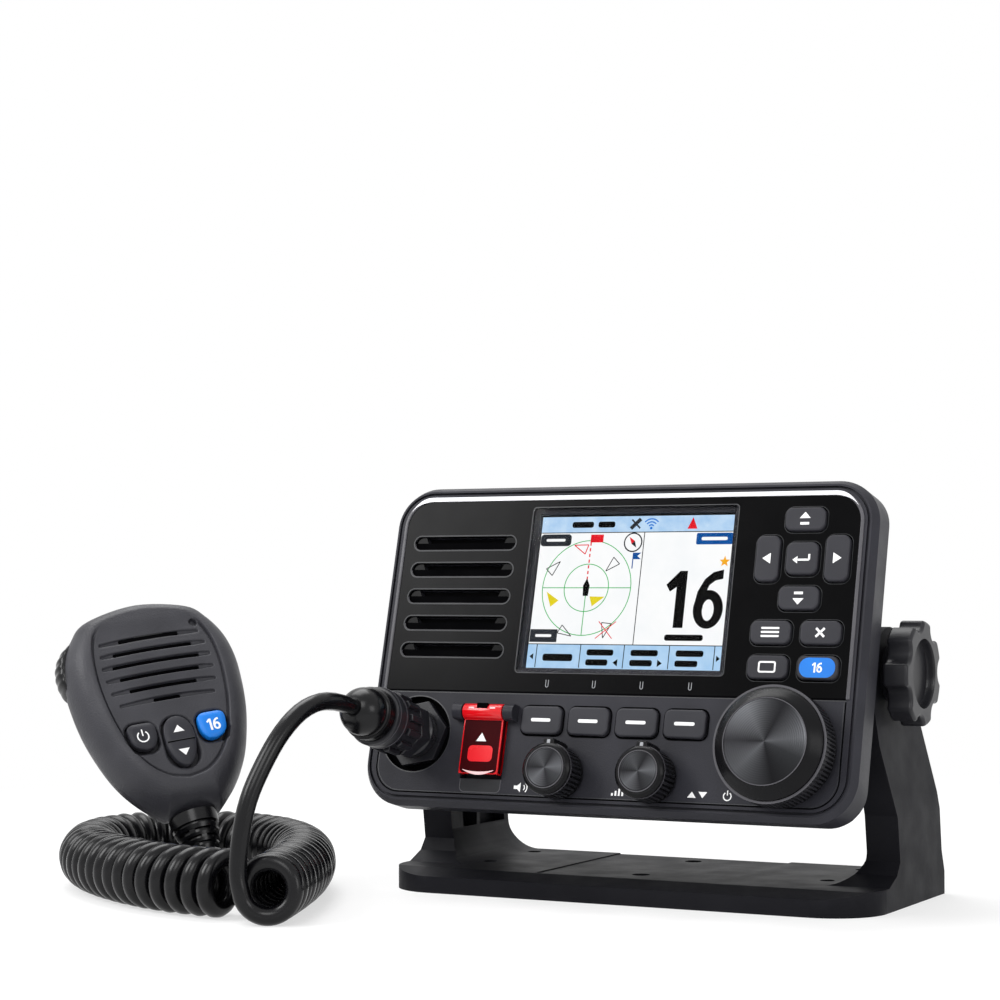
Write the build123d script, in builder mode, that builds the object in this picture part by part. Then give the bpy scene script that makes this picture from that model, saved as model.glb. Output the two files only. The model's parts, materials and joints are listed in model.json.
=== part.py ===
"""Fixed-mount VHF marine radio with its bracket and its hand microphone on a curly cord.

Millimetres, +Z up, +X to the right of someone facing the set, front towards -Y.
The origin is the centre of the bracket base's underside.  Places on the set are given
in the face's own frame: u to the right, v up the face and w out of it, with u and v
measured from the middle of the panel.
"""
from build123d import *
import os
from math import atan2, cos, hypot, pi, radians, sin, sqrt, tan

os.makedirs("parts", exist_ok=True)

# ------------------------------------------------------------------ fits
RUN_GAP = 0.05       # a shaft in its bore, on the radius
SEAT_GAP = 0.05      # between pieces that are fixed together
PART_GAP = 0.3       # between pieces that move past each other
KEY_GAP = 0.45       # round a key in its opening

# ------------------------------------------------------------------ overall
PANEL_W = 183.0      # the front panel inside its rim
PANEL_H = 113.5

# ------------------------------------------------------------------ bracket
BASE_L = PANEL_W + 4.5   # along X
BASE_D = 83.0        # along Y
BASE_T = 8.2         # at the plateau
BASE_EDGE_T = 6.0    # at the front edge, below the sloped band
BASE_BAND = 10.0     # width of the sloped band along the front
BASE_FRONT_R = 20.4
BASE_REAR_R = 2.0
BASE_STEP = 0.4      # the plateau's middle lies lower than its ends
BASE_STEP_X = 35.0
OUTER_HOLE_PITCH = 36.0
OUTER_HOLE_Y = 12.8  # middle of each outer pair
OUTER_HOLE_R = 2.6
CENTRE_HOLE_PITCH = 46.8
CENTRE_HOLE_Y = 7.6
CENTRE_HOLE_R = 3.2
ARM_IN = PANEL_W / 2 - 9.7   # arm's inner face from the middle
OUTER_HOLE_X = ARM_IN - 15.2
ARM_LEAN_Z = 31.0    # the outer face is upright up to here
EAR_LEAN_Z = 68.0    # and again from here
EAR_T = 7.5
EAR_R = 16.0
ARM_FRONT_FOOT = (-6.8, 16.0)
ARM_FRONT_KNEE = (-9.2, 31.9)
ARM_FRONT_NECK = (-18.6, 56.3)
ARM_REAR_FOOT = (38.5, 16.0)
ARM_REAR_KNEE = (35.9, 37.0)
ARM_REAR_NECK = (27.0, 60.5)
ARM_FILLET = 11.5
POCKET_FRONT_WALL = 6.0
POCKET_DEPTH = 5.0
POCKET_Z = (18.3, 56.0)
POCKET_RIB = 2.4
PIVOT_Y = -4.0
PIVOT_Z = 80.7
WASHER_T = 1.5
WASHER_R = 13.0

# ------------------------------------------------------------------ clamp knobs
KNOB_LOBES = 7
KNOB_R = 18.2
KNOB_NOTCH_R = 4.6
KNOB_NOTCH_DEPTH = 3.2
KNOB_LOBE_R = 1.6    # rounding between a lobe and its notch
KNOB_EDGE = 1.2
KNOB_T = 9.0
KNOB_HUB_R = 9.5
KNOB_HUB_T = 3.6
KNOB_DISH_R = 11.6
KNOB_DISH_DEPTH = 3.0
KNOB_DISH_SLOPE = 8  # degrees
STUD_R = 4.0
STUD_HOLE_GAP = 0.3
STUD_IN = 7.0        # stud's length inside the insert
INSERT_R = 6.5
INSERT_L = 9.0
INSERT_BOSS_WALL = 2.5

# ------------------------------------------------------------------ set, front case
TILT = 14.84         # the face leans back this far at rest, degrees
PIVOT_DEPTH = 37.3   # pivot behind the face
PANEL_R = 13.0
RIM = 2.5            # the case stands out this far round the panel
RIM_BACK = 3.0       # its widest line lies this far behind the face
RIM_LAND = 0.7       # its flat front edge round the groove
BEZEL_DEPTH = 14.0
BEZEL_TAPER = 0.6    # it narrows this much on each side towards the back
CASE_WALL = 3.0
FACE_WALL = 4.2
GROOVE_W = 0.9
GROOVE_DEPTH = 1.2
FASCIA_T = 1.6
FASCIA_FOOT_V = -PANEL_H / 2 + 38.95
FASCIA_MARGIN = 2.6

# ------------------------------------------------------------------ display and speaker
WINDOW_W = PANEL_W - 103.0
WINDOW_H = PANEL_H - 52.7
WINDOW_R = 1.5
WINDOW_T = 1.3
WINDOW_U = 3.4
WINDOW_V = PANEL_H / 2 - 36.55
WINDOW_LEDGE = 2.0
DISPLAY_T = 4.8
DISPLAY_PROUD = 0.6  # the lit area stands forward inside the opening
SLOT_COUNT = 5
SLOT_W = 42.4
SLOT_H = 5.6
SLOT_PITCH = 10.0
SLOT_U = -PANEL_W / 2 + 28.1
SLOT_V = PANEL_H / 2 - 39.25
SLOT_DEPTH = 0.9
SLOT_MOUTH = (33.6, 31.6, 2.1)   # its opening: width above, width below, height
SLOT_MOUTH_UP = 1.3
CLOTH_T = 0.5
SPEAKER_R = 22.0
SPEAKER_FRAME_T = 4.0
MAGNET_R = 11.0
MAGNET_T = 6.0

# ------------------------------------------------------------------ keys
KEY_STAND = 1.6
KEY_TRAVEL = 0.8
KEY_FLANGE = 0.6
KEY_FLANGE_T = 0.8
KEY_STEM_R = 1.6
KEY_EDGE = 0.7
KEY_R = 2.6          # corners of the upper keys, in plan
SOFT_KEY_R = 2.4
COLUMN_U = PANEL_W / 2 - 22.8   # the cross of keys and the pairs under it
CROSS_V = 30.8
CROSS_U_STEP = 12.6
CROSS_V_STEP = 13.9
PAIR_U_STEP = 9.0
MENU_V = 4.9
DISPLAY_KEY_V = -7.2
WIDE_KEY = (14.6, 8.3)
TALL_KEY = (8.7, 16.3)
ENTER_KEY = (11.6, 11.5)
SOFT_COUNT = 4
SOFT_KEY = (15.7, 10.0)
SOFT_PITCH = 18.3
SOFT_U = 4.15
SOFT_V = -PANEL_H / 2 + 29.25

# ------------------------------------------------------------------ distress switch
DISTRESS_U = -PANEL_W / 2 + 46.3
TROUGH_W = 16.6
TROUGH_TOP_V = -PANEL_H / 2 + 34.75
TROUGH_FOOT_V = -PANEL_H / 2 + 3.35
TROUGH_DEPTH = 4.6
TROUGH_WALL = 1.4
HINGE_V = -PANEL_H / 2 + 31.35
HINGE_UP = 2.5
HINGE_R = 2.9
LUG_W = 4.0
COVER_W = 15.6
COVER_FOOT_V = -PANEL_H / 2 + 9.15
COVER_UNDER = 1.4    # the cover's underside over the panel
COVER_T = 1.4
COVER_SKIRT_T = 1.2
COVER_SKIRT_IN = 2.4
PIN_R = 1.0
DISTRESS_KEY = (10.2, 6.6)
DISTRESS_KEY_V = -PANEL_H / 2 + 16.15
DISTRESS_KEY_SINK = 2.4
DISTRESS_TRAVEL = 1.2

# ------------------------------------------------------------------ panel knobs
SMALL_KNOB_U = (-13.8, 21.4)
SMALL_KNOB_V = -PANEL_H / 2 + 10.45
SMALL_KNOB_R = 9.0
SMALL_FACE_R = 8.0
SMALL_KNOB_TOP = 13.0
SMALL_KNOB_STAND = 1.2
SMALL_SHAFT_R = 3.0
SMALL_ENCODER = 12.0
POINTER_W = 4.0
POINTER_H = 1.5
BIG_KNOB_U = PANEL_W / 2 - 23.9
BIG_KNOB_V = -PANEL_H / 2 + 21.15
BIG_KNOB_R = 19.8
BIG_FACE_R = 15.0
BIG_RIM_R = 19.0
BIG_RIM_BACK = 3.5
BIG_KNOB_TOP = 17.0
BIG_KNOB_STAND = 1.8
BIG_SHAFT_R = 4.0
BIG_ENCODER = 18.0
BIG_KNOB_PUSH = 0.6
BUSH_WALL = 1.5
BUSH_STAND = 0.7
RIB_DEPTH = 0.4
SMALL_RIBS = 30
BIG_RIBS = 72

# ------------------------------------------------------------------ boards and chassis
BOARD_T = 1.6
FRONT_BOARD = (PANEL_W - 67.0, PANEL_H - 11.5)
FRONT_BOARD_AT = (21.3, -1.0)
FRONT_BOARD_DEPTH = 10.0
BOARD_POST_R = 2.5
BOARD_POSTS = [
    (COLUMN_U - 21.5, PANEL_H / 2 - 9.75),
    (COLUMN_U - 21.5, FASCIA_FOOT_V + 1.8),
    (DISTRESS_U + 13.2, FASCIA_FOOT_V + 1.8),
    (SOFT_U - 0.15, -PANEL_H / 2 + 14.75),
]
CHASSIS_W = PANEL_W - 35.0
CHASSIS_H = PANEL_H - 13.5
CHASSIS_R = 8.0
CHASSIS_BACK = 62.0  # the rear wall's outside behind the face
CHASSIS_WALL = 3.0
FLANGE_T = 3.0
SEAL_T = 1.2
SEAL_IN = 1.6        # the seal lies this far inside the bezel's edge
FIN_H = 9.0
FIN_T = 1.8
FIN_PITCH = 8.0
FIN_COUNT = 18
FIN_FOOT_V = -8.0
MAIN_BOARD = (PANEL_W - 53.0, PANEL_H - 23.5)
MAIN_BOARD_DEPTH = 36.0
MAIN_POST = (PANEL_W / 2 - 33.5, PANEL_H / 2 - 18.75)
MAIN_POST_R = 3.5
SCREW_AT = (PANEL_W / 2 - 7.1, PANEL_H / 2 - 10.15)
SCREW_BOSS_R = 4.5
SCREW_R = 1.5
SCREW_HEAD_R = 2.9
SCREW_HEAD_T = 2.2
SCREW_L = 11.0
SCREW_SLOT_W = 0.7
SCREW_SLOT_DEPTH = 1.0
SCREW_SLOT_SHARE = 0.7   # of the head that the cross slot spans
REAR_ROW_V = -PANEL_H / 2 + 24.75
ANTENNA_U = -48.0
NETWORK_U = 0.0
POWER_U = 48.0
ANTENNA_R = 7.9
ANTENNA_L = 14.0
ANTENNA_FLANGE = 25.4
ANTENNA_BORE = (5.5, 9.0)    # radius and depth
NETWORK_R = 6.0
NETWORK_L = 10.0
NETWORK_FLANGE_R = 9.0
NETWORK_BORE = (4.6, 8.0)
GLAND_R = 8.0
GLAND_L = 12.0
GLAND_BORE = (3.2, 8.0)
REAR_FLANGE_T = 2.0
REAR_STEM_R = 5.0
REAR_STEM_L = 6.0

# ------------------------------------------------------------------ microphone socket and plug
JACK_U = -PANEL_W / 2 + 17.9
JACK_V = -PANEL_H / 2 + 23.25
RECESS_R = 13.8
RECESS_DEPTH = 2.6
NUT_AF = 21.6
NUT_T = 3.2
SOCKET_R = 7.0
SOCKET_FLANGE_R = 10.5
SOCKET_FLANGE_T = 2.0
SOCKET_BACK = 11.0
SOCKET_SKIRT_R = 9.0
SOCKET_SKIRT_TOP = 5.8
SOCKET_TOP = 11.5
SOCKET_BORE_R = 5.6
SOCKET_BORE_END = 0.0
RING_HEX_AF = 18.0
RING_HEX_FOOT = 6.1
RING_FOOT = 12.6
RING_R = 10.4
RING_TOP = 31.4
PLUG_R = 8.0
PLUG_PIN_R = 5.3
PLUG_PIN_END = 2.0
BOOT_COLLAR_R = 9.4
BOOT_COLLAR_FOOT = 31.7
BOOT_COLLAR_TOP = 36.0
BALL_R = 8.5
BALL_AT = 37.8
BOOT_TOP = 45.5
BOOT_GROOVES = 3

# ------------------------------------------------------------------ cord
CORD_D = 6.2
COIL_D = 23.5        # outside of the curly cord
LEAD_EXIT = 13.0     # the lead's first straight run, out of the plug
LEAD_ROUTE = [       # and on down to the curly cord's open end
    (-76.3, -118.5, 71.2),
    (-79.0, -129.3, 63.0),
    (-81.6, -136.6, 52.2),
    (-84.2, -141.8, 41.0),
    (-85.6, -144.2, 28.5),
    (-86.0, -145.2, 16.5),
]
COIL_ROUTE = [       # the curly cord's middle line, in plan
    (-76.5, -142.0),
    (-88.0, -111.0),
    (-104.0, -76.0),
    (-124.0, -45.0),
    (-152.0, -23.0),
    (-183.0, -18.0),
    (-204.0, -35.0),
    (-205.5, -62.0),
    (-190.0, -88.0),
    (-167.0, -107.0),
    (-140.0, -122.0),
    (-118.0, -129.5),
    (-98.0, -131.5),
]
TAIL_FLOOR = CORD_D / 2 + 0.1
TAIL_ROUTE = [       # from the microphone to the curly cord's other end
    (-131.0, -86.0, TAIL_FLOOR),
    (-118.5, -96.0, TAIL_FLOOR),
    (-106.5, -106.0, TAIL_FLOOR),
    (-99.5, -116.0, TAIL_FLOOR),
    (-96.5, -127.0, TAIL_FLOOR),
]
BEND_SHARE = 0.45    # of the shorter run that a bend's arc may take

# ------------------------------------------------------------------ microphone
MIC_COLLAR = (-153.75, -73.2, 26.6)  # where the strain relief meets the shells
MIC_FACING = 48.6    # degrees from straight ahead, towards +X
MIC_LEAN_BACK = 28.3
MIC_LEAN_LEFT = 9.4
MIC_BOOT_L = 15.5
MIC_BOOT_R = (9.0, 5.7)
MIC_BOOT_STRAIGHT = 3.5
MIC_BOOT_NECK_R = 5.0
MIC_BOOT_NECK_L = 6.0
MIC_SCALE_V = 48.0   # the outline shrinks towards this height
MIC_OUTLINE = [      # half width and height above the strain relief
    (10.4, 0.0),
    (14.6, 4.0),
    (19.6, 9.5),
    (25.0, 18.0),
    (28.6, 27.0),
    (31.6, 38.0),
    (33.1, 50.0),
    (33.1, 60.0),
    (31.0, 69.5),
    (26.2, 77.5),
    (19.6, 83.2),
    (0.0, 87.0),
]
MIC_FRONT = [        # depth forward of the parting line and the outline's scale there
    (0.0, 1.0),
    (4.4, 0.985),
    (8.2, 0.94),
    (11.0, 0.87),
    (12.6, 0.78),
]
MIC_REAR = [
    (0.0, 1.0),
    (-3.7, 0.98),
    (-7.5, 0.92),
    (-9.8, 0.85),
    (-11.2, 0.76),
]
MIC_WALL = 2.4
MIC_WALL_SCALE = 0.08
MIC_SLOT_V = (69.3, 64.1, 59.0, 53.8, 48.6, 43.4)
MIC_SLOT_HALF = (11.5, 15.3, 16.8, 15.4, 13.0, 5.2)
MIC_SLOT_H = 1.7
MIC_HOLE_AT = (18.5, 72.9)
MIC_HOLE_R = 1.5
MIC_KEY = (12.0, 12.0)
MIC_KEY_R = 3.4
MIC_KEY_U = 13.6
MIC_KEY_V = 29.4
MIC_KEY_STAND = 1.2
MIC_KEY_TRAVEL = 0.6
MIC_KEY_FLANGE_W = 6.0
ROCKER = (12.0, 20.6)
ROCKER_V = 25.4
ROCKER_PIN_R = 0.8
ROCKER_PIN_HALF = 7.0
ROCKER_SINK = 3.4    # its pivot lies this deep behind the shell's front
MIC_BOARD = (30.0, 20.0)
MIC_BOARD_V = 27.0
MIC_BOARD_DEPTH = 6.0
PTT_V = (55.5, 77.0)
PTT_STEPS = 8
PTT_PROUD = (0.6, 3.2)   # how far it stands out at its ends and in its middle
PTT_DEEP = 7.5
PTT_HALF_T = 5.0
PTT_AT_W = -2.0
PTT_TRAVEL = 1.5
PTT_EDGE = 1.0
MIC_SPEAKER_R = 14.5
MIC_SPEAKER_V = 57.0
MIC_SPEAKER_T = 5.0
HANGER_V = 50.0
HANGER_R = 7.5
HANGER_NECK_R = 4.0
HANGER_NECK_T = 2.6
HANGER_HEAD_T = 2.4
HANGER_STEM_R = 2.5
MIC_SCREW_AT = [(-20.0, 43.5), (20.0, 43.5), (-11.0, 13.0), (11.0, 13.0)]
MIC_SCREW_R = 1.2
MIC_SCREW_HEAD_R = 2.2
MIC_SCREW_HEAD_T = 1.6
MIC_SCREW_L = 18.0
MIC_POST_R = 2.6

# ------------------------------------------------------------------ frames
tilt = radians(TILT)
OUT = Vector(0, -cos(tilt), sin(tilt))
PIVOT = Vector(0, PIVOT_Y, PIVOT_Z)
FACE = Plane(origin=PIVOT + OUT * PIVOT_DEPTH, x_dir=(1, 0, 0), z_dir=OUT)

facing = radians(MIC_FACING)
lean_back = radians(MIC_LEAN_BACK)
lean_left = radians(MIC_LEAN_LEFT)
out_level = Vector(sin(facing), -cos(facing), 0)
right_level = Vector(cos(facing), sin(facing), 0)
up_back = Vector(0, 0, 1) * cos(lean_back) - out_level * sin(lean_back)
MIC_OUT = out_level * cos(lean_back) + Vector(0, 0, 1) * sin(lean_back)
MIC_UP = up_back * cos(lean_left) - right_level * sin(lean_left)
MIC_RIGHT = right_level * cos(lean_left) + up_back * sin(lean_left)
MIC = Plane(origin=MIC_COLLAR, x_dir=MIC_RIGHT, z_dir=MIC_OUT)


def face_at(w, u=0.0, v=0.0):
    """The plane w out of the face, with its origin at u, v."""
    return Plane(origin=FACE.from_local_coords((u, v, w)), x_dir=FACE.x_dir, z_dir=FACE.z_dir)


def face_side(u, v):
    """The face seen from its side at u, v: x is up the face and y is out of it."""
    return Plane(origin=FACE.from_local_coords((u, v, 0)), x_dir=FACE.y_dir, z_dir=(1, 0, 0))


def face_axis(u, v):
    return Axis(FACE.from_local_coords((u, v, 0)), FACE.z_dir)


def mic_at(w, u=0.0, v=0.0):
    """The plane w in front of the microphone's parting line, with its origin at u, v."""
    return Plane(origin=MIC.from_local_coords((u, v, w)), x_dir=MIC.x_dir, z_dir=MIC.z_dir)


def finish(piece, label):
    piece.label = label
    export_step(piece, f"parts/{label}.step")


def circle_tangent(point, centre, radius, side):
    """Where the line from a point touches a circle, on the side asked for."""
    dx = point[0] - centre[0]
    dy = point[1] - centre[1]
    reach = hypot(dx, dy)
    turn = side * (pi / 2 - atan2(radius, sqrt(reach * reach - radius * radius)))
    angle = atan2(dy, dx) + turn
    return centre[0] + radius * cos(angle), centre[1] + radius * sin(angle)


def bend_radii(points):
    """The radius of each bend, from its angle and the shorter of its two runs."""
    radii = []
    for before, at, after in zip(points, points[1:], points[2:]):
        run_in = Vector(*at) - Vector(*before)
        run_out = Vector(*after) - Vector(*at)
        half_turn = radians(run_in.get_angle(run_out)) / 2
        radii.append(BEND_SHARE * min(run_in.length, run_out.length) / tan(half_turn))
    return radii


# ------------------------------------------------------------------ bracket
base_front = -BASE_D / 2
base_rear = BASE_D / 2
base_end = BASE_L / 2
plateau_front = base_front + BASE_BAND
ear_out = ARM_IN + EAR_T
insert_face = ARM_IN - WASHER_T - PART_GAP
pivot_at = (PIVOT_Y, PIVOT_Z)
fillet_top = BASE_T + ARM_FILLET
fillet_in = ARM_IN - ARM_FILLET

with BuildPart() as arm:
    with BuildSketch(Plane.YZ.offset(fillet_in)):
        with BuildLine():
            Polyline(
                (base_rear, 0),
                (base_rear, BASE_T),
                ARM_REAR_FOOT,
                ARM_REAR_KNEE,
                ARM_REAR_NECK,
                circle_tangent(ARM_REAR_NECK, pivot_at, EAR_R, 1),
                pivot_at,
                circle_tangent(ARM_FRONT_NECK, pivot_at, EAR_R, -1),
                ARM_FRONT_NECK,
                ARM_FRONT_KNEE,
                ARM_FRONT_FOOT,
                (ARM_FRONT_FOOT[0] - ARM_FILLET * 0.3, BASE_T + ARM_FILLET * 0.3),
                (ARM_FRONT_FOOT[0] - ARM_FILLET, BASE_T),
                (ARM_FRONT_FOOT[0] - ARM_FILLET, 0),
                close=True,
            )
        make_face()
        with Locations(pivot_at):
            Circle(EAR_R)
    extrude(amount=base_end - fillet_in)
    with BuildSketch(Plane.XZ.offset(-BASE_D)):
        with BuildLine():
            Polyline(
                (fillet_in, BASE_T),
                (fillet_in, 0),
                (base_end, 0),
                (base_end, ARM_LEAN_Z),
                (ear_out, EAR_LEAN_Z),
                (ear_out, PIVOT_Z + EAR_R),
                (ARM_IN, PIVOT_Z + EAR_R),
                (ARM_IN, fillet_top),
            )
            RadiusArc((ARM_IN, fillet_top), (fillet_in, BASE_T), ARM_FILLET)
        make_face()
    extrude(amount=2 * BASE_D, mode=Mode.INTERSECT)
    # the pocket in its inner side, with a rib across it
    pocket_floor = ARM_IN + POCKET_DEPTH
    with BuildSketch(Plane.YZ.offset(ARM_IN)):
        with BuildLine():
            Polyline(
                (ARM_FRONT_KNEE[0] + POCKET_FRONT_WALL + 5, POCKET_Z[0]),
                (ARM_REAR_KNEE[0] - 1, POCKET_Z[0]),
                (ARM_REAR_KNEE[0] - 4, ARM_REAR_KNEE[1]),
                (ARM_REAR_NECK[0] - 5, POCKET_Z[1]),
                (ARM_FRONT_NECK[0] + POCKET_FRONT_WALL + 4, POCKET_Z[1]),
                (ARM_FRONT_KNEE[0] + POCKET_FRONT_WALL + 3, ARM_FRONT_KNEE[1]),
                close=True,
            )
        make_face()
        with Locations(((ARM_REAR_KNEE[0] + ARM_FRONT_KNEE[0]) / 2, 0)):
            Rectangle(POCKET_RIB, 4 * PIVOT_Z, mode=Mode.SUBTRACT)
    extrude(amount=POCKET_DEPTH, mode=Mode.SUBTRACT)
    with BuildSketch(Plane.YZ.offset(ARM_IN)):
        with Locations(pivot_at):
            Circle(STUD_R + STUD_HOLE_GAP)
    extrude(amount=base_end - ARM_IN, mode=Mode.SUBTRACT)

with BuildPart() as bracket:
    with BuildSketch():
        Rectangle(BASE_L, BASE_D)
        corners = vertices().sort_by(Axis.Y)
        fillet(corners[:2], BASE_FRONT_R)
        fillet(corners[2:], BASE_REAR_R)
    extrude(amount=BASE_T)
    # the sloped band along the front
    with BuildSketch(Plane.YZ.offset(-base_end)):
        with BuildLine():
            Polyline(
                (base_front, BASE_EDGE_T),
                (plateau_front, BASE_T),
                (base_front, BASE_T),
                close=True,
            )
        make_face()
    extrude(amount=BASE_L, mode=Mode.SUBTRACT)
    # the plateau's lower middle
    with BuildSketch(Plane.XY.offset(BASE_T - BASE_STEP)):
        with Locations((0, (plateau_front + 1 + base_rear) / 2)):
            Rectangle(2 * BASE_STEP_X, base_rear - plateau_front - 1)
    extrude(amount=BASE_STEP, mode=Mode.SUBTRACT)
    # both arms, and the screw holes
    add(arm.part)
    add(mirror(arm.part, about=Plane.YZ, mode=Mode.PRIVATE))
    with Locations((0, OUTER_HOLE_Y, BASE_T)):
        with GridLocations(2 * OUTER_HOLE_X, OUTER_HOLE_PITCH, 2, 2):
            Hole(OUTER_HOLE_R)
    with Locations((0, CENTRE_HOLE_Y, BASE_T)):
        with GridLocations(0, CENTRE_HOLE_PITCH, 1, 2):
            Hole(CENTRE_HOLE_R)
finish(bracket.part, "bracket")

with BuildPart() as friction_washers:
    for washer_plane in (
        Plane.YZ.offset(ARM_IN - WASHER_T),
        Plane.YZ.offset(-ARM_IN),
    ):
        with BuildSketch(washer_plane):
            with Locations(pivot_at):
                Circle(WASHER_R)
                Circle(STUD_R + STUD_HOLE_GAP, mode=Mode.SUBTRACT)
        extrude(amount=WASHER_T)
finish(friction_washers.part, "friction_washers")


# ------------------------------------------------------------------ clamp knobs
def clamp_knob(side):
    """A lobed knob with its stud, on the right (1) or on the left (-1)."""
    outwards = Plane(origin=(0, PIVOT_Y, PIVOT_Z), x_dir=(0, 1, 0), z_dir=(side, 0, 0))
    hub_foot = ear_out
    lobes_foot = hub_foot + KNOB_HUB_T
    stud_end = insert_face - STUD_IN
    with BuildPart() as knob:
        with BuildSketch(outwards.offset(lobes_foot)):
            Circle(KNOB_R)
            with PolarLocations(KNOB_R + KNOB_NOTCH_R - KNOB_NOTCH_DEPTH, KNOB_LOBES):
                Circle(KNOB_NOTCH_R, mode=Mode.SUBTRACT)
            fillet(vertices(), KNOB_LOBE_R)
        extrude(amount=KNOB_T)
        fillet(faces().sort_by(Axis.X)[0 if side < 0 else -1].edges(), KNOB_EDGE)
        fillet(faces().sort_by(Axis.X)[-1 if side < 0 else 0].edges(), KNOB_EDGE)
        with BuildSketch(outwards.offset(lobes_foot + KNOB_T - KNOB_DISH_DEPTH)):
            Circle(KNOB_DISH_R)
        extrude(amount=KNOB_DISH_DEPTH, taper=-KNOB_DISH_SLOPE, mode=Mode.SUBTRACT)
        with BuildSketch(outwards.offset(hub_foot)):
            Circle(KNOB_HUB_R)
        extrude(amount=KNOB_HUB_T)
        with BuildSketch(outwards.offset(stud_end)):
            Circle(STUD_R)
        extrude(amount=hub_foot - stud_end + KNOB_HUB_T)
    return knob.part


finish(clamp_knob(1), "side_knob_right")
finish(clamp_knob(-1), "side_knob_left")

# ------------------------------------------------------------------ front case
case_w = PANEL_W + 2 * RIM
case_h = PANEL_H + 2 * RIM
back_w = case_w - 2 * BEZEL_TAPER
back_h = case_h - 2 * BEZEL_TAPER
cavity_w = back_w - 2 * CASE_WALL
cavity_h = back_h - 2 * CASE_WALL
cavity_r = PANEL_R - CASE_WALL
opening_w = WINDOW_W - 2 * WINDOW_LEDGE
opening_h = WINDOW_H - 2 * WINDOW_LEDGE
slot_rows = [SLOT_V + SLOT_PITCH * (row - (SLOT_COUNT - 1) / 2) for row in range(SLOT_COUNT)]
soft_columns = [
    SOFT_U + SOFT_PITCH * (column - (SOFT_COUNT - 1) / 2) for column in range(SOFT_COUNT)
]
UPPER_KEYS = {
    "key_channel_up": (COLUMN_U, CROSS_V + CROSS_V_STEP, WIDE_KEY),
    "key_left": (COLUMN_U - CROSS_U_STEP, CROSS_V, TALL_KEY),
    "key_enter": (COLUMN_U, CROSS_V, ENTER_KEY),
    "key_right": (COLUMN_U + CROSS_U_STEP, CROSS_V, TALL_KEY),
    "key_channel_down": (COLUMN_U, CROSS_V - CROSS_V_STEP, WIDE_KEY),
    "key_menu": (COLUMN_U - PAIR_U_STEP, MENU_V, WIDE_KEY),
    "key_clear": (COLUMN_U + PAIR_U_STEP, MENU_V, WIDE_KEY),
    "key_display": (COLUMN_U - PAIR_U_STEP, DISPLAY_KEY_V, WIDE_KEY),
    "key_16": (COLUMN_U + PAIR_U_STEP, DISPLAY_KEY_V, WIDE_KEY),
}
SOFT_KEYS = {
    f"soft_key_{number}": (u, SOFT_V, SOFT_KEY) for number, u in enumerate(soft_columns, 1)
}
trough_v = (TROUGH_TOP_V + TROUGH_FOOT_V) / 2
trough_h = TROUGH_TOP_V - TROUGH_FOOT_V
tray_depth = TROUGH_DEPTH + TROUGH_WALL
hinge_side = face_side(DISTRESS_U, 0)


def fascia_outline(grow=0.0):
    """The glossy plate: the panel's outline inside its trim, cut off along the foot."""
    RectangleRounded(
        PANEL_W - 2 * FASCIA_MARGIN + 2 * grow,
        PANEL_H - 2 * FASCIA_MARGIN + 2 * grow,
        PANEL_R - FASCIA_MARGIN + grow,
    )
    with Locations((0, FASCIA_FOOT_V - grow)):
        Rectangle(PANEL_W, PANEL_H, align=(Align.CENTER, Align.MAX), mode=Mode.SUBTRACT)


def key_openings(keys, radius, mode):
    for u, v, (width, height) in keys.values():
        with Locations((u, v)):
            RectangleRounded(
                width + 2 * KEY_GAP, height + 2 * KEY_GAP, radius + KEY_GAP, mode=mode
            )


def slot_mouths(mode):
    """The openings along the upper side of each speaker slot."""
    top_w, foot_w, height = SLOT_MOUTH
    for v in slot_rows:
        Polygon(
            (SLOT_U - top_w / 2, v + SLOT_MOUTH_UP + height / 2),
            (SLOT_U + top_w / 2, v + SLOT_MOUTH_UP + height / 2),
            (SLOT_U + foot_w / 2, v + SLOT_MOUTH_UP - height / 2),
            (SLOT_U - foot_w / 2, v + SLOT_MOUTH_UP - height / 2),
            align=None,
            mode=mode,
        )


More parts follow.
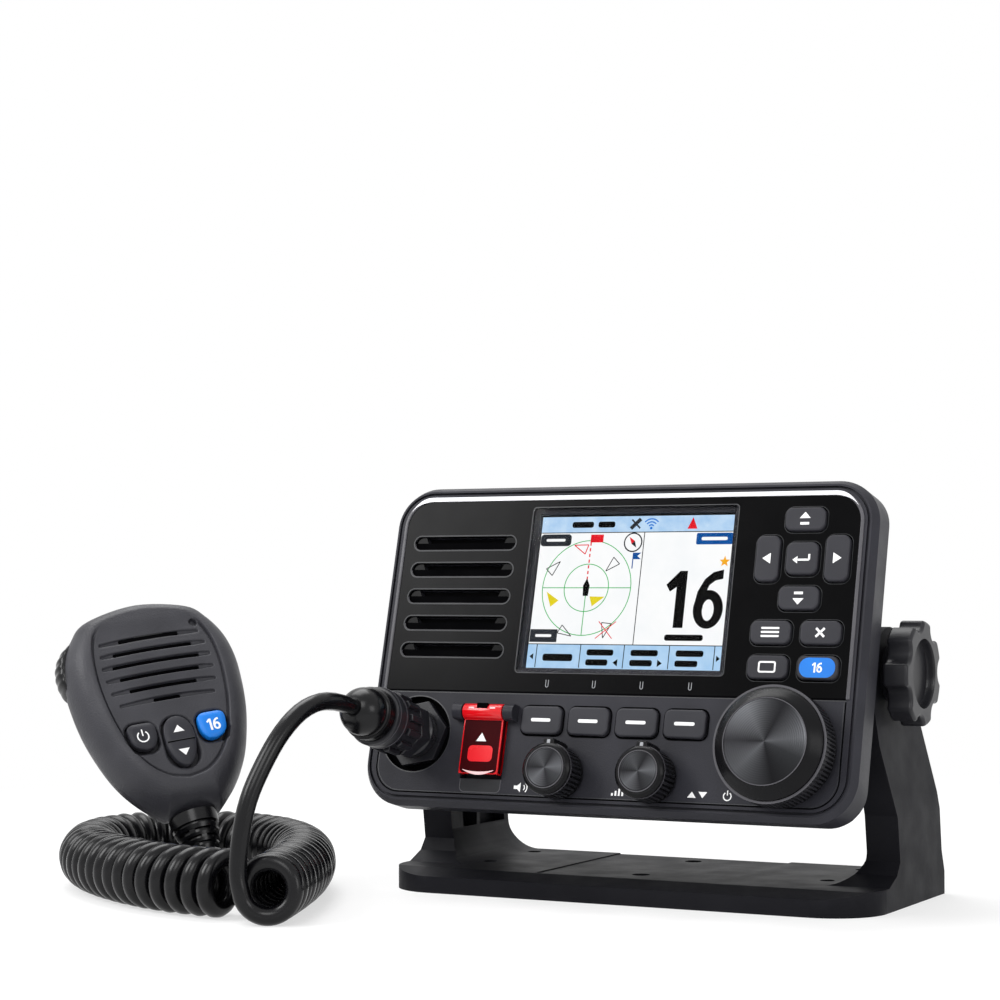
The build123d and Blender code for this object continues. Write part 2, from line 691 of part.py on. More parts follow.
with BuildPart() as front_case:
    for w, width, height, radius in (
        (-BEZEL_DEPTH, back_w, back_h, PANEL_R),
        (-RIM_BACK, case_w, case_h, PANEL_R + RIM),
        (0, PANEL_W + 2 * RIM_LAND, PANEL_H + 2 * RIM_LAND, PANEL_R + RIM_LAND),
    ):
        with BuildSketch(face_at(w)):
            RectangleRounded(width, height, radius)
    loft(ruled=True)
    with BuildSketch(face_at(-BEZEL_DEPTH)):
        RectangleRounded(cavity_w, cavity_h, cavity_r)
    extrude(amount=BEZEL_DEPTH - FACE_WALL, mode=Mode.SUBTRACT)
    with BuildSketch(face_at(-GROOVE_DEPTH)):
        RectangleRounded(PANEL_W, PANEL_H, PANEL_R)
        RectangleRounded(
            PANEL_W - 2 * GROOVE_W, PANEL_H - 2 * GROOVE_W, PANEL_R - GROOVE_W, mode=Mode.SUBTRACT
        )
    extrude(amount=GROOVE_DEPTH, mode=Mode.SUBTRACT)
    # the fascia's seat and the display's opening
    with BuildSketch(face_at(-FASCIA_T)):
        fascia_outline(SEAT_GAP)
    extrude(amount=FASCIA_T, mode=Mode.SUBTRACT)
    with BuildSketch(face_at(0)):
        with Locations((WINDOW_U, WINDOW_V)):
            Rectangle(opening_w, opening_h)
        slot_mouths(Mode.ADD)
    extrude(amount=-FACE_WALL, mode=Mode.SUBTRACT)
    # behind the wall: screw bosses, board posts, and the distress switch's tray
    with BuildSketch(face_at(-BEZEL_DEPTH)):
        with GridLocations(2 * SCREW_AT[0], 2 * SCREW_AT[1], 2, 2):
            Circle(SCREW_BOSS_R)
        RectangleRounded(cavity_w + CASE_WALL, cavity_h + CASE_WALL, cavity_r, mode=Mode.INTERSECT)
    extrude(amount=BEZEL_DEPTH - FACE_WALL)
    with BuildSketch(face_at(-FRONT_BOARD_DEPTH + SEAT_GAP)):
        with Locations(*BOARD_POSTS):
            Circle(BOARD_POST_R)
    extrude(amount=FRONT_BOARD_DEPTH - SEAT_GAP - FACE_WALL)
    with BuildSketch(face_at(-tray_depth, DISTRESS_U, trough_v)):
        RectangleRounded(TROUGH_W + 2 * TROUGH_WALL, trough_h + 1, 2)
    extrude(amount=tray_depth - FACE_WALL)
    # the hinge lugs
    with BuildSketch(hinge_side):
        with Locations((HINGE_V, HINGE_UP)):
            Circle(HINGE_R)
        with Locations((HINGE_V, 0)):
            Rectangle(2 * HINGE_R, 2 * HINGE_UP)
    extrude(amount=COVER_W / 2 + PART_GAP + LUG_W, both=True)
    with BuildSketch(face_at(-TROUGH_DEPTH, DISTRESS_U, trough_v)):
        RectangleRounded(TROUGH_W, trough_h, 1.5)
    extrude(amount=TROUGH_DEPTH + HINGE_UP + 2 * HINGE_R, mode=Mode.SUBTRACT)
    # openings for the keys, knobs and socket
    with BuildSketch(face_at(-tray_depth)):
        with Locations((DISTRESS_U, DISTRESS_KEY_V)):
            Rectangle(DISTRESS_KEY[0] + 2 * KEY_GAP, DISTRESS_KEY[1] + 2 * KEY_GAP)
    extrude(amount=tray_depth, mode=Mode.SUBTRACT)
    with BuildSketch(face_at(-FACE_WALL)):
        key_openings(UPPER_KEYS, KEY_R, Mode.ADD)
        key_openings(SOFT_KEYS, SOFT_KEY_R, Mode.ADD)
        for u in SMALL_KNOB_U:
            with Locations((u, SMALL_KNOB_V)):
                Circle(SMALL_SHAFT_R + BUSH_WALL + SEAT_GAP)
        with Locations((BIG_KNOB_U, BIG_KNOB_V)):
            Circle(BIG_SHAFT_R + BUSH_WALL + SEAT_GAP)
        with Locations((JACK_U, JACK_V)):
            Circle(SOCKET_R + SEAT_GAP)
    extrude(amount=FACE_WALL, mode=Mode.SUBTRACT)
    with BuildSketch(face_at(-RECESS_DEPTH, JACK_U, JACK_V)):
        Circle(RECESS_R)
    extrude(amount=RECESS_DEPTH, mode=Mode.SUBTRACT)
    # screw holes and the hinge pin's hole
    with BuildSketch(face_at(-BEZEL_DEPTH)):
        with GridLocations(2 * SCREW_AT[0], 2 * SCREW_AT[1], 2, 2):
            Circle(SCREW_R + SEAT_GAP)
    extrude(amount=BEZEL_DEPTH - FACE_WALL - 1, mode=Mode.SUBTRACT)
    with BuildSketch(hinge_side):
        with Locations((HINGE_V, HINGE_UP)):
            Circle(PIN_R + SEAT_GAP)
    extrude(amount=COVER_W / 2 + PART_GAP + LUG_W / 2, both=True, mode=Mode.SUBTRACT)
finish(front_case.part, "front_case")

# ------------------------------------------------------------------ fascia, display, speaker
with BuildPart() as fascia:
    with BuildSketch(face_at(-FASCIA_T)):
        fascia_outline()
        with Locations((WINDOW_U, WINDOW_V)):
            RectangleRounded(
                WINDOW_W + 2 * SEAT_GAP,
                WINDOW_H + 2 * SEAT_GAP,
                WINDOW_R + SEAT_GAP,
                mode=Mode.SUBTRACT,
            )
        key_openings(UPPER_KEYS, KEY_R, Mode.SUBTRACT)
        slot_mouths(Mode.SUBTRACT)
    extrude(amount=FASCIA_T)
    with BuildSketch(face_at(-SLOT_DEPTH)):
        for v in slot_rows:
            with Locations((SLOT_U, v)):
                SlotOverall(SLOT_W, SLOT_H)
    extrude(amount=SLOT_DEPTH, mode=Mode.SUBTRACT)
finish(fascia.part, "fascia")

with BuildPart() as display_window:
    with BuildSketch(face_at(-FASCIA_T, WINDOW_U, WINDOW_V)):
        RectangleRounded(WINDOW_W, WINDOW_H, WINDOW_R)
    extrude(amount=WINDOW_T)
finish(display_window.part, "display_window")

with BuildPart() as display_module:
    with BuildSketch(face_at(-FACE_WALL - SEAT_GAP, WINDOW_U, WINDOW_V)):
        Rectangle(WINDOW_W, WINDOW_H)
    extrude(amount=-DISPLAY_T)
    with BuildSketch(face_at(-FACE_WALL - SEAT_GAP, WINDOW_U, WINDOW_V)):
        Rectangle(opening_w - 2 * SEAT_GAP, opening_h - 2 * SEAT_GAP)
    extrude(amount=DISPLAY_PROUD)
finish(display_module.part, "display_module")

cloth_back = FACE_WALL + SEAT_GAP + CLOTH_T
with BuildPart() as speaker_cloth:
    with BuildSketch(face_at(-cloth_back, SLOT_U, SLOT_V)):
        RectangleRounded(SPEAKER_R * 2, SLOT_PITCH * SLOT_COUNT, 4)
    extrude(amount=CLOTH_T)
finish(speaker_cloth.part, "speaker_cloth")

speaker_front = cloth_back + SEAT_GAP
with BuildPart() as speaker:
    with BuildSketch(face_at(-speaker_front, SLOT_U, SLOT_V)):
        Circle(SPEAKER_R)
        Circle(SPEAKER_R - 2, mode=Mode.SUBTRACT)
    extrude(amount=-SPEAKER_FRAME_T)
    with BuildSketch(face_at(-speaker_front - SPEAKER_FRAME_T, SLOT_U, SLOT_V)):
        Circle(SPEAKER_R)
    extrude(amount=2)
    with BuildSketch(face_at(-speaker_front - SPEAKER_FRAME_T, SLOT_U, SLOT_V)):
        Circle(MAGNET_R)
    extrude(amount=-MAGNET_T)
finish(speaker.part, "speaker")


# ------------------------------------------------------------------ keys of the set
def panel_key(u, v, size, radius):
    """A key with the flange that holds it behind the wall and the stem that works its switch."""
    flange_top = FACE_WALL + SEAT_GAP
    stem_end = FRONT_BOARD_DEPTH - KEY_TRAVEL - 0.1
    with BuildPart() as key:
        with BuildSketch(face_at(-flange_top, u, v)):
            RectangleRounded(*size, radius)
        extrude(amount=flange_top + KEY_STAND)
        fillet(faces().sort_by(Axis(FACE.origin, FACE.z_dir))[-1].edges(), KEY_EDGE)
        with BuildSketch(face_at(-flange_top, u, v)):
            Rectangle(size[0] + 2 * KEY_GAP + 2 * KEY_FLANGE, size[1])
        extrude(amount=-KEY_FLANGE_T)
        with BuildSketch(face_at(-flange_top, u, v)):
            Circle(KEY_STEM_R)
        extrude(amount=flange_top - stem_end)
    return key.part


for name, (u, v, size) in UPPER_KEYS.items():
    finish(panel_key(u, v, size, KEY_R), name)
for name, (u, v, size) in SOFT_KEYS.items():
    finish(panel_key(u, v, size, SOFT_KEY_R), name)

# ------------------------------------------------------------------ distress switch
key_flange_top = tray_depth + SEAT_GAP
with BuildPart() as distress_button:
    with BuildSketch(face_at(-key_flange_top, DISTRESS_U, DISTRESS_KEY_V)):
        RectangleRounded(*DISTRESS_KEY, 0.8)
    extrude(amount=key_flange_top - DISTRESS_KEY_SINK)
    with BuildSketch(face_at(-key_flange_top, DISTRESS_U, DISTRESS_KEY_V)):
        Rectangle(DISTRESS_KEY[0] + 2 * KEY_GAP + 2 * KEY_FLANGE, DISTRESS_KEY[1])
    extrude(amount=-KEY_FLANGE_T)
    with BuildSketch(face_at(-key_flange_top, DISTRESS_U, DISTRESS_KEY_V)):
        Circle(KEY_STEM_R)
    extrude(amount=key_flange_top - FRONT_BOARD_DEPTH + DISTRESS_TRAVEL + 0.1)
finish(distress_button.part, "distress_button")

with BuildPart() as distress_cover:
    with BuildSketch(hinge_side):
        with Locations((HINGE_V, HINGE_UP)):
            Circle(HINGE_R)
        with BuildLine():
            Polyline(
                (HINGE_V, COVER_UNDER),
                (COVER_FOOT_V, COVER_UNDER),
                (COVER_FOOT_V, COVER_UNDER + COVER_T),
                (HINGE_V, COVER_UNDER + COVER_T),
                close=True,
            )
        make_face()
    extrude(amount=COVER_W / 2, both=True)
    # the skirts that reach down into the trough
    with BuildSketch(hinge_side.offset(COVER_W / 2)):
        with BuildLine():
            Polyline(
                (HINGE_V, COVER_UNDER),
                (COVER_FOOT_V, COVER_UNDER),
                (COVER_FOOT_V, 0),
                (COVER_FOOT_V + COVER_SKIRT_IN, -COVER_SKIRT_IN),
                (HINGE_V - HINGE_R, -COVER_SKIRT_IN),
                (HINGE_V, 0),
                close=True,
            )
        make_face()
    extrude(amount=-COVER_SKIRT_T)
    mirror(about=hinge_side)
    with BuildSketch(hinge_side):
        with Locations((HINGE_V, HINGE_UP)):
            Circle(PIN_R + RUN_GAP)
    extrude(amount=COVER_W / 2, both=True, mode=Mode.SUBTRACT)
finish(distress_cover.part, "distress_cover")

with BuildPart() as distress_hinge_pin:
    with BuildSketch(hinge_side):
        with Locations((HINGE_V, HINGE_UP)):
            Circle(PIN_R)
    extrude(amount=COVER_W / 2 + PART_GAP + LUG_W / 2 - SEAT_GAP, both=True)
finish(distress_hinge_pin.part, "distress_hinge_pin")


# ------------------------------------------------------------------ knobs of the set
def rib_radii(radius):
    """Where the grip's grooves are cut and how wide they are."""
    return radius + RIB_DEPTH / 2, RIB_DEPTH * 1.5


def small_knob(u):
    """A ribbed knob with a pointer on its skirt, and the spindle that turns its encoder."""
    rib_at, rib_r = rib_radii(SMALL_KNOB_R)
    shoulder = SMALL_KNOB_TOP - (SMALL_KNOB_R - SMALL_FACE_R)
    spindle_end = FRONT_BOARD_DEPTH - 1
    with BuildPart() as knob:
        with BuildSketch(face_at(SMALL_KNOB_STAND, u, SMALL_KNOB_V)):
            Circle(SMALL_KNOB_R)
        extrude(amount=SMALL_KNOB_TOP - SMALL_KNOB_STAND)
        chamfer(
            faces().sort_by(Axis(FACE.origin, FACE.z_dir))[-1].edges(),
            SMALL_KNOB_R - SMALL_FACE_R,
        )
        with BuildSketch(face_at(SMALL_KNOB_STAND + 1, u, SMALL_KNOB_V)):
            with PolarLocations(rib_at, SMALL_RIBS):
                Circle(rib_r)
        extrude(amount=shoulder - SMALL_KNOB_STAND - 2, mode=Mode.SUBTRACT)
        with BuildSketch(face_at(SMALL_KNOB_STAND, u, SMALL_KNOB_V)):
            with Locations((0, SMALL_KNOB_R - 1)):
                Rectangle(POINTER_W, 2 * POINTER_H + 1)
        extrude(amount=SMALL_KNOB_TOP - SMALL_KNOB_STAND - 1)
        with BuildSketch(face_at(-spindle_end, u, SMALL_KNOB_V)):
            Circle(SMALL_SHAFT_R)
        extrude(amount=SMALL_KNOB_STAND + spindle_end)
    return knob.part


finish(small_knob(SMALL_KNOB_U[0]), "volume_knob")
finish(small_knob(SMALL_KNOB_U[1]), "squelch_knob")


def encoder(u, v, size, shaft_r):
    """An encoder on the front board, with the bush that passes through the case's wall."""
    front = -FACE_WALL - SEAT_GAP
    with BuildPart() as body:
        with BuildSketch(face_at(front, u, v)):
            Rectangle(size, size)
        extrude(amount=-(FRONT_BOARD_DEPTH - FACE_WALL - 2 * SEAT_GAP))
        with BuildSketch(face_at(front, u, v)):
            Circle(shaft_r + BUSH_WALL)
        extrude(amount=FACE_WALL + SEAT_GAP + BUSH_STAND)
        with BuildSketch(face_at(BUSH_STAND, u, v)):
            Circle(shaft_r + RUN_GAP)
        extrude(amount=-(FRONT_BOARD_DEPTH + BUSH_STAND), mode=Mode.SUBTRACT)
    return body.part


with BuildPart() as encoders:
    for u in SMALL_KNOB_U:
        add(encoder(u, SMALL_KNOB_V, SMALL_ENCODER, SMALL_SHAFT_R))
finish(encoders.part, "encoders")
finish(encoder(BIG_KNOB_U, BIG_KNOB_V, BIG_ENCODER, BIG_SHAFT_R), "channel_encoder")

shaft_end = FRONT_BOARD_DEPTH - BIG_KNOB_PUSH - 0.2
shaft_top = BIG_KNOB_TOP - 3
with BuildPart() as channel_shaft:
    with BuildSketch(face_at(-shaft_end, BIG_KNOB_U, BIG_KNOB_V)):
        Circle(BIG_SHAFT_R)
    extrude(amount=shaft_end + shaft_top)
finish(channel_shaft.part, "channel_shaft")

big_rim = BIG_KNOB_TOP - BIG_RIM_BACK
with BuildPart() as channel_knob:
    with BuildSketch(face_side(BIG_KNOB_U, BIG_KNOB_V)):
        with BuildLine():
            Polyline(
                (0, BIG_KNOB_STAND),
                (BIG_KNOB_R - 0.8, BIG_KNOB_STAND),
                (BIG_KNOB_R, BIG_KNOB_STAND + 0.8),
                (BIG_RIM_R, big_rim),
                (BIG_FACE_R, BIG_KNOB_TOP),
                (0, BIG_KNOB_TOP),
                close=True,
            )
        make_face()
    revolve(axis=face_axis(BIG_KNOB_U, BIG_KNOB_V))
    big_rib_at, big_rib_r = rib_radii(BIG_KNOB_R)
    with BuildSketch(face_at(BIG_KNOB_STAND + 2, BIG_KNOB_U, BIG_KNOB_V)):
        with PolarLocations(big_rib_at, BIG_RIBS):
            Circle(big_rib_r)
    extrude(amount=big_rim - BIG_KNOB_STAND - 4, mode=Mode.SUBTRACT)
    with BuildSketch(face_at(BIG_KNOB_STAND, BIG_KNOB_U, BIG_KNOB_V)):
        Circle(BIG_SHAFT_R + RUN_GAP)
    extrude(amount=shaft_top + RUN_GAP - BIG_KNOB_STAND, mode=Mode.SUBTRACT)
finish(channel_knob.part, "channel_knob")

# ------------------------------------------------------------------ boards, chassis and seal
with BuildPart() as front_board:
    with BuildSketch(face_at(-FRONT_BOARD_DEPTH, *FRONT_BOARD_AT)):
        Rectangle(*FRONT_BOARD)
    extrude(amount=-BOARD_T)
finish(front_board.part, "front_board")

with BuildPart() as main_board:
    with BuildSketch(face_at(-MAIN_BOARD_DEPTH)):
        Rectangle(*MAIN_BOARD)
    extrude(amount=-BOARD_T)
finish(main_board.part, "main_board")

seal_w = back_w - 2 * SEAL_IN
seal_h = back_h - 2 * SEAL_IN
seal_r = PANEL_R - SEAL_IN
with BuildPart() as case_seal:
    with BuildSketch(face_at(-BEZEL_DEPTH)):
        RectangleRounded(seal_w, seal_h, seal_r)
        RectangleRounded(cavity_w, cavity_h, cavity_r, mode=Mode.SUBTRACT)
    extrude(amount=-SEAL_T)
finish(case_seal.part, "case_seal")

flange_front = BEZEL_DEPTH + SEAL_T
flange_back = flange_front + FLANGE_T
chassis_in_w = CHASSIS_W - 2 * CHASSIS_WALL
chassis_in_h = CHASSIS_H - 2 * CHASSIS_WALL
side_insert = Plane(origin=PIVOT, x_dir=(0, 1, 0), z_dir=(1, 0, 0))
insert_boss_r = INSERT_R + INSERT_BOSS_WALL
main_post_back = CHASSIS_BACK - CHASSIS_WALL
with BuildPart() as chassis:
    with BuildSketch(face_at(-flange_front)):
        RectangleRounded(seal_w, seal_h, seal_r)
    extrude(amount=-FLANGE_T)
    with BuildSketch(face_at(-flange_back)):
        RectangleRounded(CHASSIS_W, CHASSIS_H, CHASSIS_R)
    extrude(amount=-(CHASSIS_BACK - flange_back))
    with BuildSketch(face_at(-flange_front)):
        RectangleRounded(chassis_in_w, chassis_in_h, CHASSIS_R - CHASSIS_WALL)
    extrude(amount=-(main_post_back - flange_front), mode=Mode.SUBTRACT)
    # the side bosses for the stud inserts
    for side in (-1, 1):
        with BuildSketch(side_insert.offset(side * insert_face)):
            Circle(insert_boss_r)
        extrude(amount=-side * (INSERT_L + INSERT_BOSS_WALL))
        with BuildSketch(side_insert.offset(side * insert_face)):
            Circle(INSERT_R + SEAT_GAP)
        extrude(amount=-side * INSERT_L, mode=Mode.SUBTRACT)
    # the main board's posts, and the cooling fins
    with BuildSketch(face_at(-main_post_back)):
        with GridLocations(2 * MAIN_POST[0], 2 * MAIN_POST[1], 2, 2):
            Circle(MAIN_POST_R)
    extrude(amount=main_post_back - MAIN_BOARD_DEPTH - BOARD_T - SEAT_GAP)
    with BuildSketch(face_at(-CHASSIS_BACK)):
        with Locations((0, (FIN_FOOT_V + CHASSIS_H / 2 - CHASSIS_WALL) / 2)):
            with GridLocations(FIN_PITCH, 0, FIN_COUNT, 1):
                Rectangle(FIN_T, CHASSIS_H / 2 - CHASSIS_WALL - FIN_FOOT_V)
    extrude(amount=-FIN_H)
    # holes for the case screws and the rear sockets
    with BuildSketch(face_at(-flange_front)):
        with GridLocations(2 * SCREW_AT[0], 2 * SCREW_AT[1], 2, 2):
            Circle(SCREW_R + SEAT_GAP)
    extrude(amount=-FLANGE_T, mode=Mode.SUBTRACT)
    with BuildSketch(face_at(-main_post_back)):
        for u in (ANTENNA_U, NETWORK_U, POWER_U):
            with Locations((u, REAR_ROW_V)):
                Circle(REAR_STEM_R + SEAT_GAP)
    extrude(amount=-CHASSIS_WALL, mode=Mode.SUBTRACT)
finish(chassis.part, "chassis")

with BuildPart() as knob_inserts:
    for side in (-1, 1):
        with BuildSketch(side_insert.offset(side * insert_face)):
            Circle(INSERT_R)
            Circle(STUD_R + RUN_GAP, mode=Mode.SUBTRACT)
        extrude(amount=-side * (INSERT_L - SEAT_GAP))
finish(knob_inserts.part, "knob_inserts")

with BuildPart() as chassis_screws:
    with BuildSketch(face_at(-flange_back - SEAT_GAP)):
        with GridLocations(2 * SCREW_AT[0], 2 * SCREW_AT[1], 2, 2):
            Circle(SCREW_R)
    extrude(amount=SCREW_L)
    with BuildSketch(face_at(-flange_back - SEAT_GAP)):
        with GridLocations(2 * SCREW_AT[0], 2 * SCREW_AT[1], 2, 2):
            Circle(SCREW_HEAD_R)
    extrude(amount=-SCREW_HEAD_T)
    with BuildSketch(face_at(-flange_back - SCREW_HEAD_T)):
        with GridLocations(2 * SCREW_AT[0], 2 * SCREW_AT[1], 2, 2):
            Rectangle(2 * SCREW_HEAD_R * SCREW_SLOT_SHARE, SCREW_SLOT_W)
            Rectangle(SCREW_SLOT_W, 2 * SCREW_HEAD_R * SCREW_SLOT_SHARE)
    extrude(amount=SCREW_SLOT_DEPTH, both=True, mode=Mode.SUBTRACT)
finish(chassis_screws.part, "chassis_screws")


# ------------------------------------------------------------------ rear sockets
def rear_fitting(u, flange, barrel_r, length, bore):
    """A fitting on the rear wall: its flange, its barrel and the stem through the wall."""
    front = -CHASSIS_BACK - SEAT_GAP
    with BuildPart() as fitting:
        with BuildSketch(face_at(front, u, REAR_ROW_V)):
            flange()
        extrude(amount=-REAR_FLANGE_T)
        with BuildSketch(face_at(front, u, REAR_ROW_V)):
            Circle(barrel_r)
        extrude(amount=-length)
        with BuildSketch(face_at(front, u, REAR_ROW_V)):
            Circle(REAR_STEM_R)
        extrude(amount=REAR_STEM_L)
        with BuildSketch(face_at(front - length, u, REAR_ROW_V)):
            Circle(bore[0])
        extrude(amount=bore[1], mode=Mode.SUBTRACT)
    return fitting.part


def antenna_flange():
    RectangleRounded(ANTENNA_FLANGE, ANTENNA_FLANGE, 2)


def network_flange():
    Circle(NETWORK_FLANGE_R)


def gland_flange():
    RegularPolygon(GLAND_R + 1.5, 6)


finish(
    rear_fitting(ANTENNA_U, antenna_flange, ANTENNA_R, ANTENNA_L, ANTENNA_BORE), "antenna_socket"
)
finish(
    rear_fitting(NETWORK_U, network_flange, NETWORK_R, NETWORK_L, NETWORK_BORE), "network_socket"
)
finish(rear_fitting(POWER_U, gland_flange, GLAND_R, GLAND_L, GLAND_BORE), "power_gland")

# ------------------------------------------------------------------ microphone socket and plug
with BuildPart() as mic_socket:
    with BuildSketch(face_at(-SOCKET_BACK, JACK_U, JACK_V)):
        Circle(SOCKET_R)
    extrude(amount=SOCKET_BACK + SOCKET_TOP)
    with BuildSketch(face_at(-FACE_WALL - SEAT_GAP, JACK_U, JACK_V)):
        Circle(SOCKET_FLANGE_R)
    extrude(amount=-SOCKET_FLANGE_T)
    with BuildSketch(face_side(JACK_U, JACK_V)):
        with BuildLine():
            Polyline(
                (0, NUT_T - RECESS_DEPTH + 2 * SEAT_GAP),
                (SOCKET_SKIRT_R, NUT_T - RECESS_DEPTH + 2 * SEAT_GAP),
                (SOCKET_SKIRT_R, SOCKET_SKIRT_TOP - 1.5),
                (SOCKET_SKIRT_R - 1.5, SOCKET_SKIRT_TOP),
                (0, SOCKET_SKIRT_TOP),
                close=True,
            )
        make_face()
    revolve(axis=face_axis(JACK_U, JACK_V))
    with BuildSketch(face_at(SOCKET_BORE_END, JACK_U, JACK_V)):
        Circle(SOCKET_BORE_R)
    extrude(amount=SOCKET_TOP, mode=Mode.SUBTRACT)
finish(mic_socket.part, "mic_socket")

with BuildPart() as socket_nut:
    with BuildSketch(face_at(-RECESS_DEPTH + SEAT_GAP, JACK_U, JACK_V)):
        RegularPolygon(NUT_AF / 2, 6, major_radius=False, rotation=12)
        Circle(SOCKET_R + SEAT_GAP, mode=Mode.SUBTRACT)
    extrude(amount=NUT_T)
finish(socket_nut.part, "socket_nut")

with BuildPart() as plug_ring:
    with BuildSketch(face_at(RING_HEX_FOOT, JACK_U, JACK_V)):
        RegularPolygon(RING_HEX_AF / 2, 6, major_radius=False, rotation=12)
    extrude(amount=RING_FOOT - RING_HEX_FOOT)
    with BuildSketch(face_at(RING_FOOT, JACK_U, JACK_V)):
        Circle(RING_R)
    extrude(amount=RING_TOP - RING_FOOT)
    chamfer(faces().sort_by(Axis(FACE.origin, FACE.z_dir))[-1].edges(), 0.6)
    with BuildSketch(face_at(RING_HEX_FOOT, JACK_U, JACK_V)):
        Circle(SOCKET_R + PART_GAP)
    extrude(amount=SOCKET_TOP + PART_GAP - RING_HEX_FOOT, mode=Mode.SUBTRACT)
    with BuildSketch(face_at(SOCKET_TOP, JACK_U, JACK_V)):
        Circle(PLUG_R + RUN_GAP)
    extrude(amount=RING_TOP - SOCKET_TOP, mode=Mode.SUBTRACT)
finish(plug_ring.part, "plug_ring")

with BuildPart() as plug_body:
    with BuildSketch(face_at(SOCKET_TOP + PART_GAP, JACK_U, JACK_V)):
        Circle(PLUG_R)
    extrude(amount=BOOT_COLLAR_FOOT - SEAT_GAP - SOCKET_TOP - PART_GAP)
    with BuildSketch(face_at(PLUG_PIN_END, JACK_U, JACK_V)):
        Circle(PLUG_PIN_R)
    extrude(amount=SOCKET_TOP + 1 - PLUG_PIN_END)
finish(plug_body.part, "plug_body")

with BuildPart() as plug_boot:
    groove = (BOOT_COLLAR_TOP - BOOT_COLLAR_FOOT) / (2 * BOOT_GROOVES + 1)
    ball_side = sqrt(BALL_R**2 - (BALL_AT - BOOT_COLLAR_TOP) ** 2)
    ball_tip = sqrt(BALL_R**2 - (BOOT_TOP - BALL_AT) ** 2)
    with BuildSketch(face_side(JACK_U, JACK_V)):
        with BuildLine():
            Polyline(
                (ball_tip, BOOT_TOP),
                (0, BOOT_TOP),
                (0, BOOT_COLLAR_FOOT),
                (BOOT_COLLAR_R, BOOT_COLLAR_FOOT),
                (BOOT_COLLAR_R, BOOT_COLLAR_TOP),
                (ball_side, BOOT_COLLAR_TOP),
            )
            ThreePointArc((ball_side, BOOT_COLLAR_TOP), (BALL_R, BALL_AT), (ball_tip, BOOT_TOP))
        make_face()
        for number in range(BOOT_GROOVES):
            with Locations((BOOT_COLLAR_R, BOOT_COLLAR_FOOT + groove * (2 * number + 1.5))):
                Rectangle(1.0, groove, mode=Mode.SUBTRACT)
    revolve(axis=face_axis(JACK_U, JACK_V))
finish(plug_boot.part, "plug_boot")


# ------------------------------------------------------------------ cord
def cord(points, diameter, name):
    """A round cord along straight runs joined by tangent arcs."""
    radii = bend_radii(points)
    print(name, "bend radii", [round(radius, 1) for radius in radii])
    with BuildPart() as tube:
        with BuildLine() as route:
            FilletPolyline(*points, radius=radii)
        start = Plane(origin=route.line @ 0, z_dir=route.line % 0)
        with BuildSketch(start):
            Circle(diameter / 2)
        sweep()
    length = route.wires()[0].length
    fill = tube.part.volume / (pi * diameter * diameter / 4 * length)
    print(name, "length", round(length, 1), "volume over section times length", round(fill, 4))
    return tube.part


lead_start = Vector(FACE.from_local_coords((JACK_U, JACK_V, BOOT_TOP)))
lead_points = [
    tuple(lead_start),
    tuple(lead_start + OUT * LEAD_EXIT),
    *LEAD_ROUTE,
]
coil_points = [(x, y, COIL_D / 2) for x, y in COIL_ROUTE]
tail_start = Vector(MIC.from_local_coords((0, -MIC_BOOT_L, 0)))
tail_points = [
    tuple(tail_start),
    tuple(tail_start - MIC_UP * ((tail_start.Z - TAIL_FLOOR) / MIC_UP.Z)),
    *TAIL_ROUTE,
]
finish(cord(lead_points, CORD_D, "lead"), "cord_lead")
finish(cord(coil_points, COIL_D, "coil"), "cord_coil")
finish(cord(tail_points, CORD_D, "tail"), "cord_tail")

# ------------------------------------------------------------------ microphone shells


def mic_outline(plane, scale):
    """The microphone's outline, shrunk towards its middle, on a plane."""
    right = MIC_OUTLINE[:-1]
    top = MIC_OUTLINE[-1]
    left = [(-half, v) for half, v in reversed(right)]
    points = [
        (x * scale, MIC_SCALE_V + (v - MIC_SCALE_V) * scale) for x, v in [*right, top, *left]
    ]
    with BuildSketch(plane) as outline:
        with BuildLine():
            Spline(*points)
            Line(points[-1], points[0])
        make_face()
    return outline.sketch


def half_width(v):
    """The outline's half width at a height, between its given points."""
    for (half_a, v_a), (half_b, v_b) in zip(MIC_OUTLINE, MIC_OUTLINE[1:]):
        if v_a <= v <= v_b:
            return half_a + (half_b - half_a) * (v - v_a) / (v_b - v_a)
    return 0.0


def ptt_outline(grow, travel=0.0):
    """The push-to-talk bar's outline on the microphone's left side, bulging in its middle."""
    v_low = PTT_V[0] - grow
    v_high = PTT_V[1] + grow
    inner = half_width(PTT_V[1]) - PTT_DEEP - grow - travel
    at_ends, in_middle = PTT_PROUD
    outer = []
    for step in range(PTT_STEPS + 1):
        share = step / PTT_STEPS
        v = v_low + (v_high - v_low) * share
        proud = at_ends + (in_middle - at_ends) * sin(pi * share)
        outer.append((-half_width(v) - proud - grow, v))
    Polygon(*outer, (-inner, v_high), (-inner, v_low), align=None)


def mic_shell(levels):
    """A hollow shell lofted through the outline at its levels."""
    depth_sign = 1 if levels[-1][0] > 0 else -1
    with BuildPart() as shell:
        for w, scale in levels:
            add(mic_outline(mic_at(w), scale))
        loft()
    last_w, last_scale = levels[-1]
    core_levels = [(w, scale - MIC_WALL_SCALE) for w, scale in levels[:-2]]
    core_levels.append((last_w - depth_sign * MIC_WALL, last_scale))
    with BuildPart() as core:
        for w, scale in core_levels:
            add(mic_outline(mic_at(w), scale))
        loft()
    return shell.part, core.part


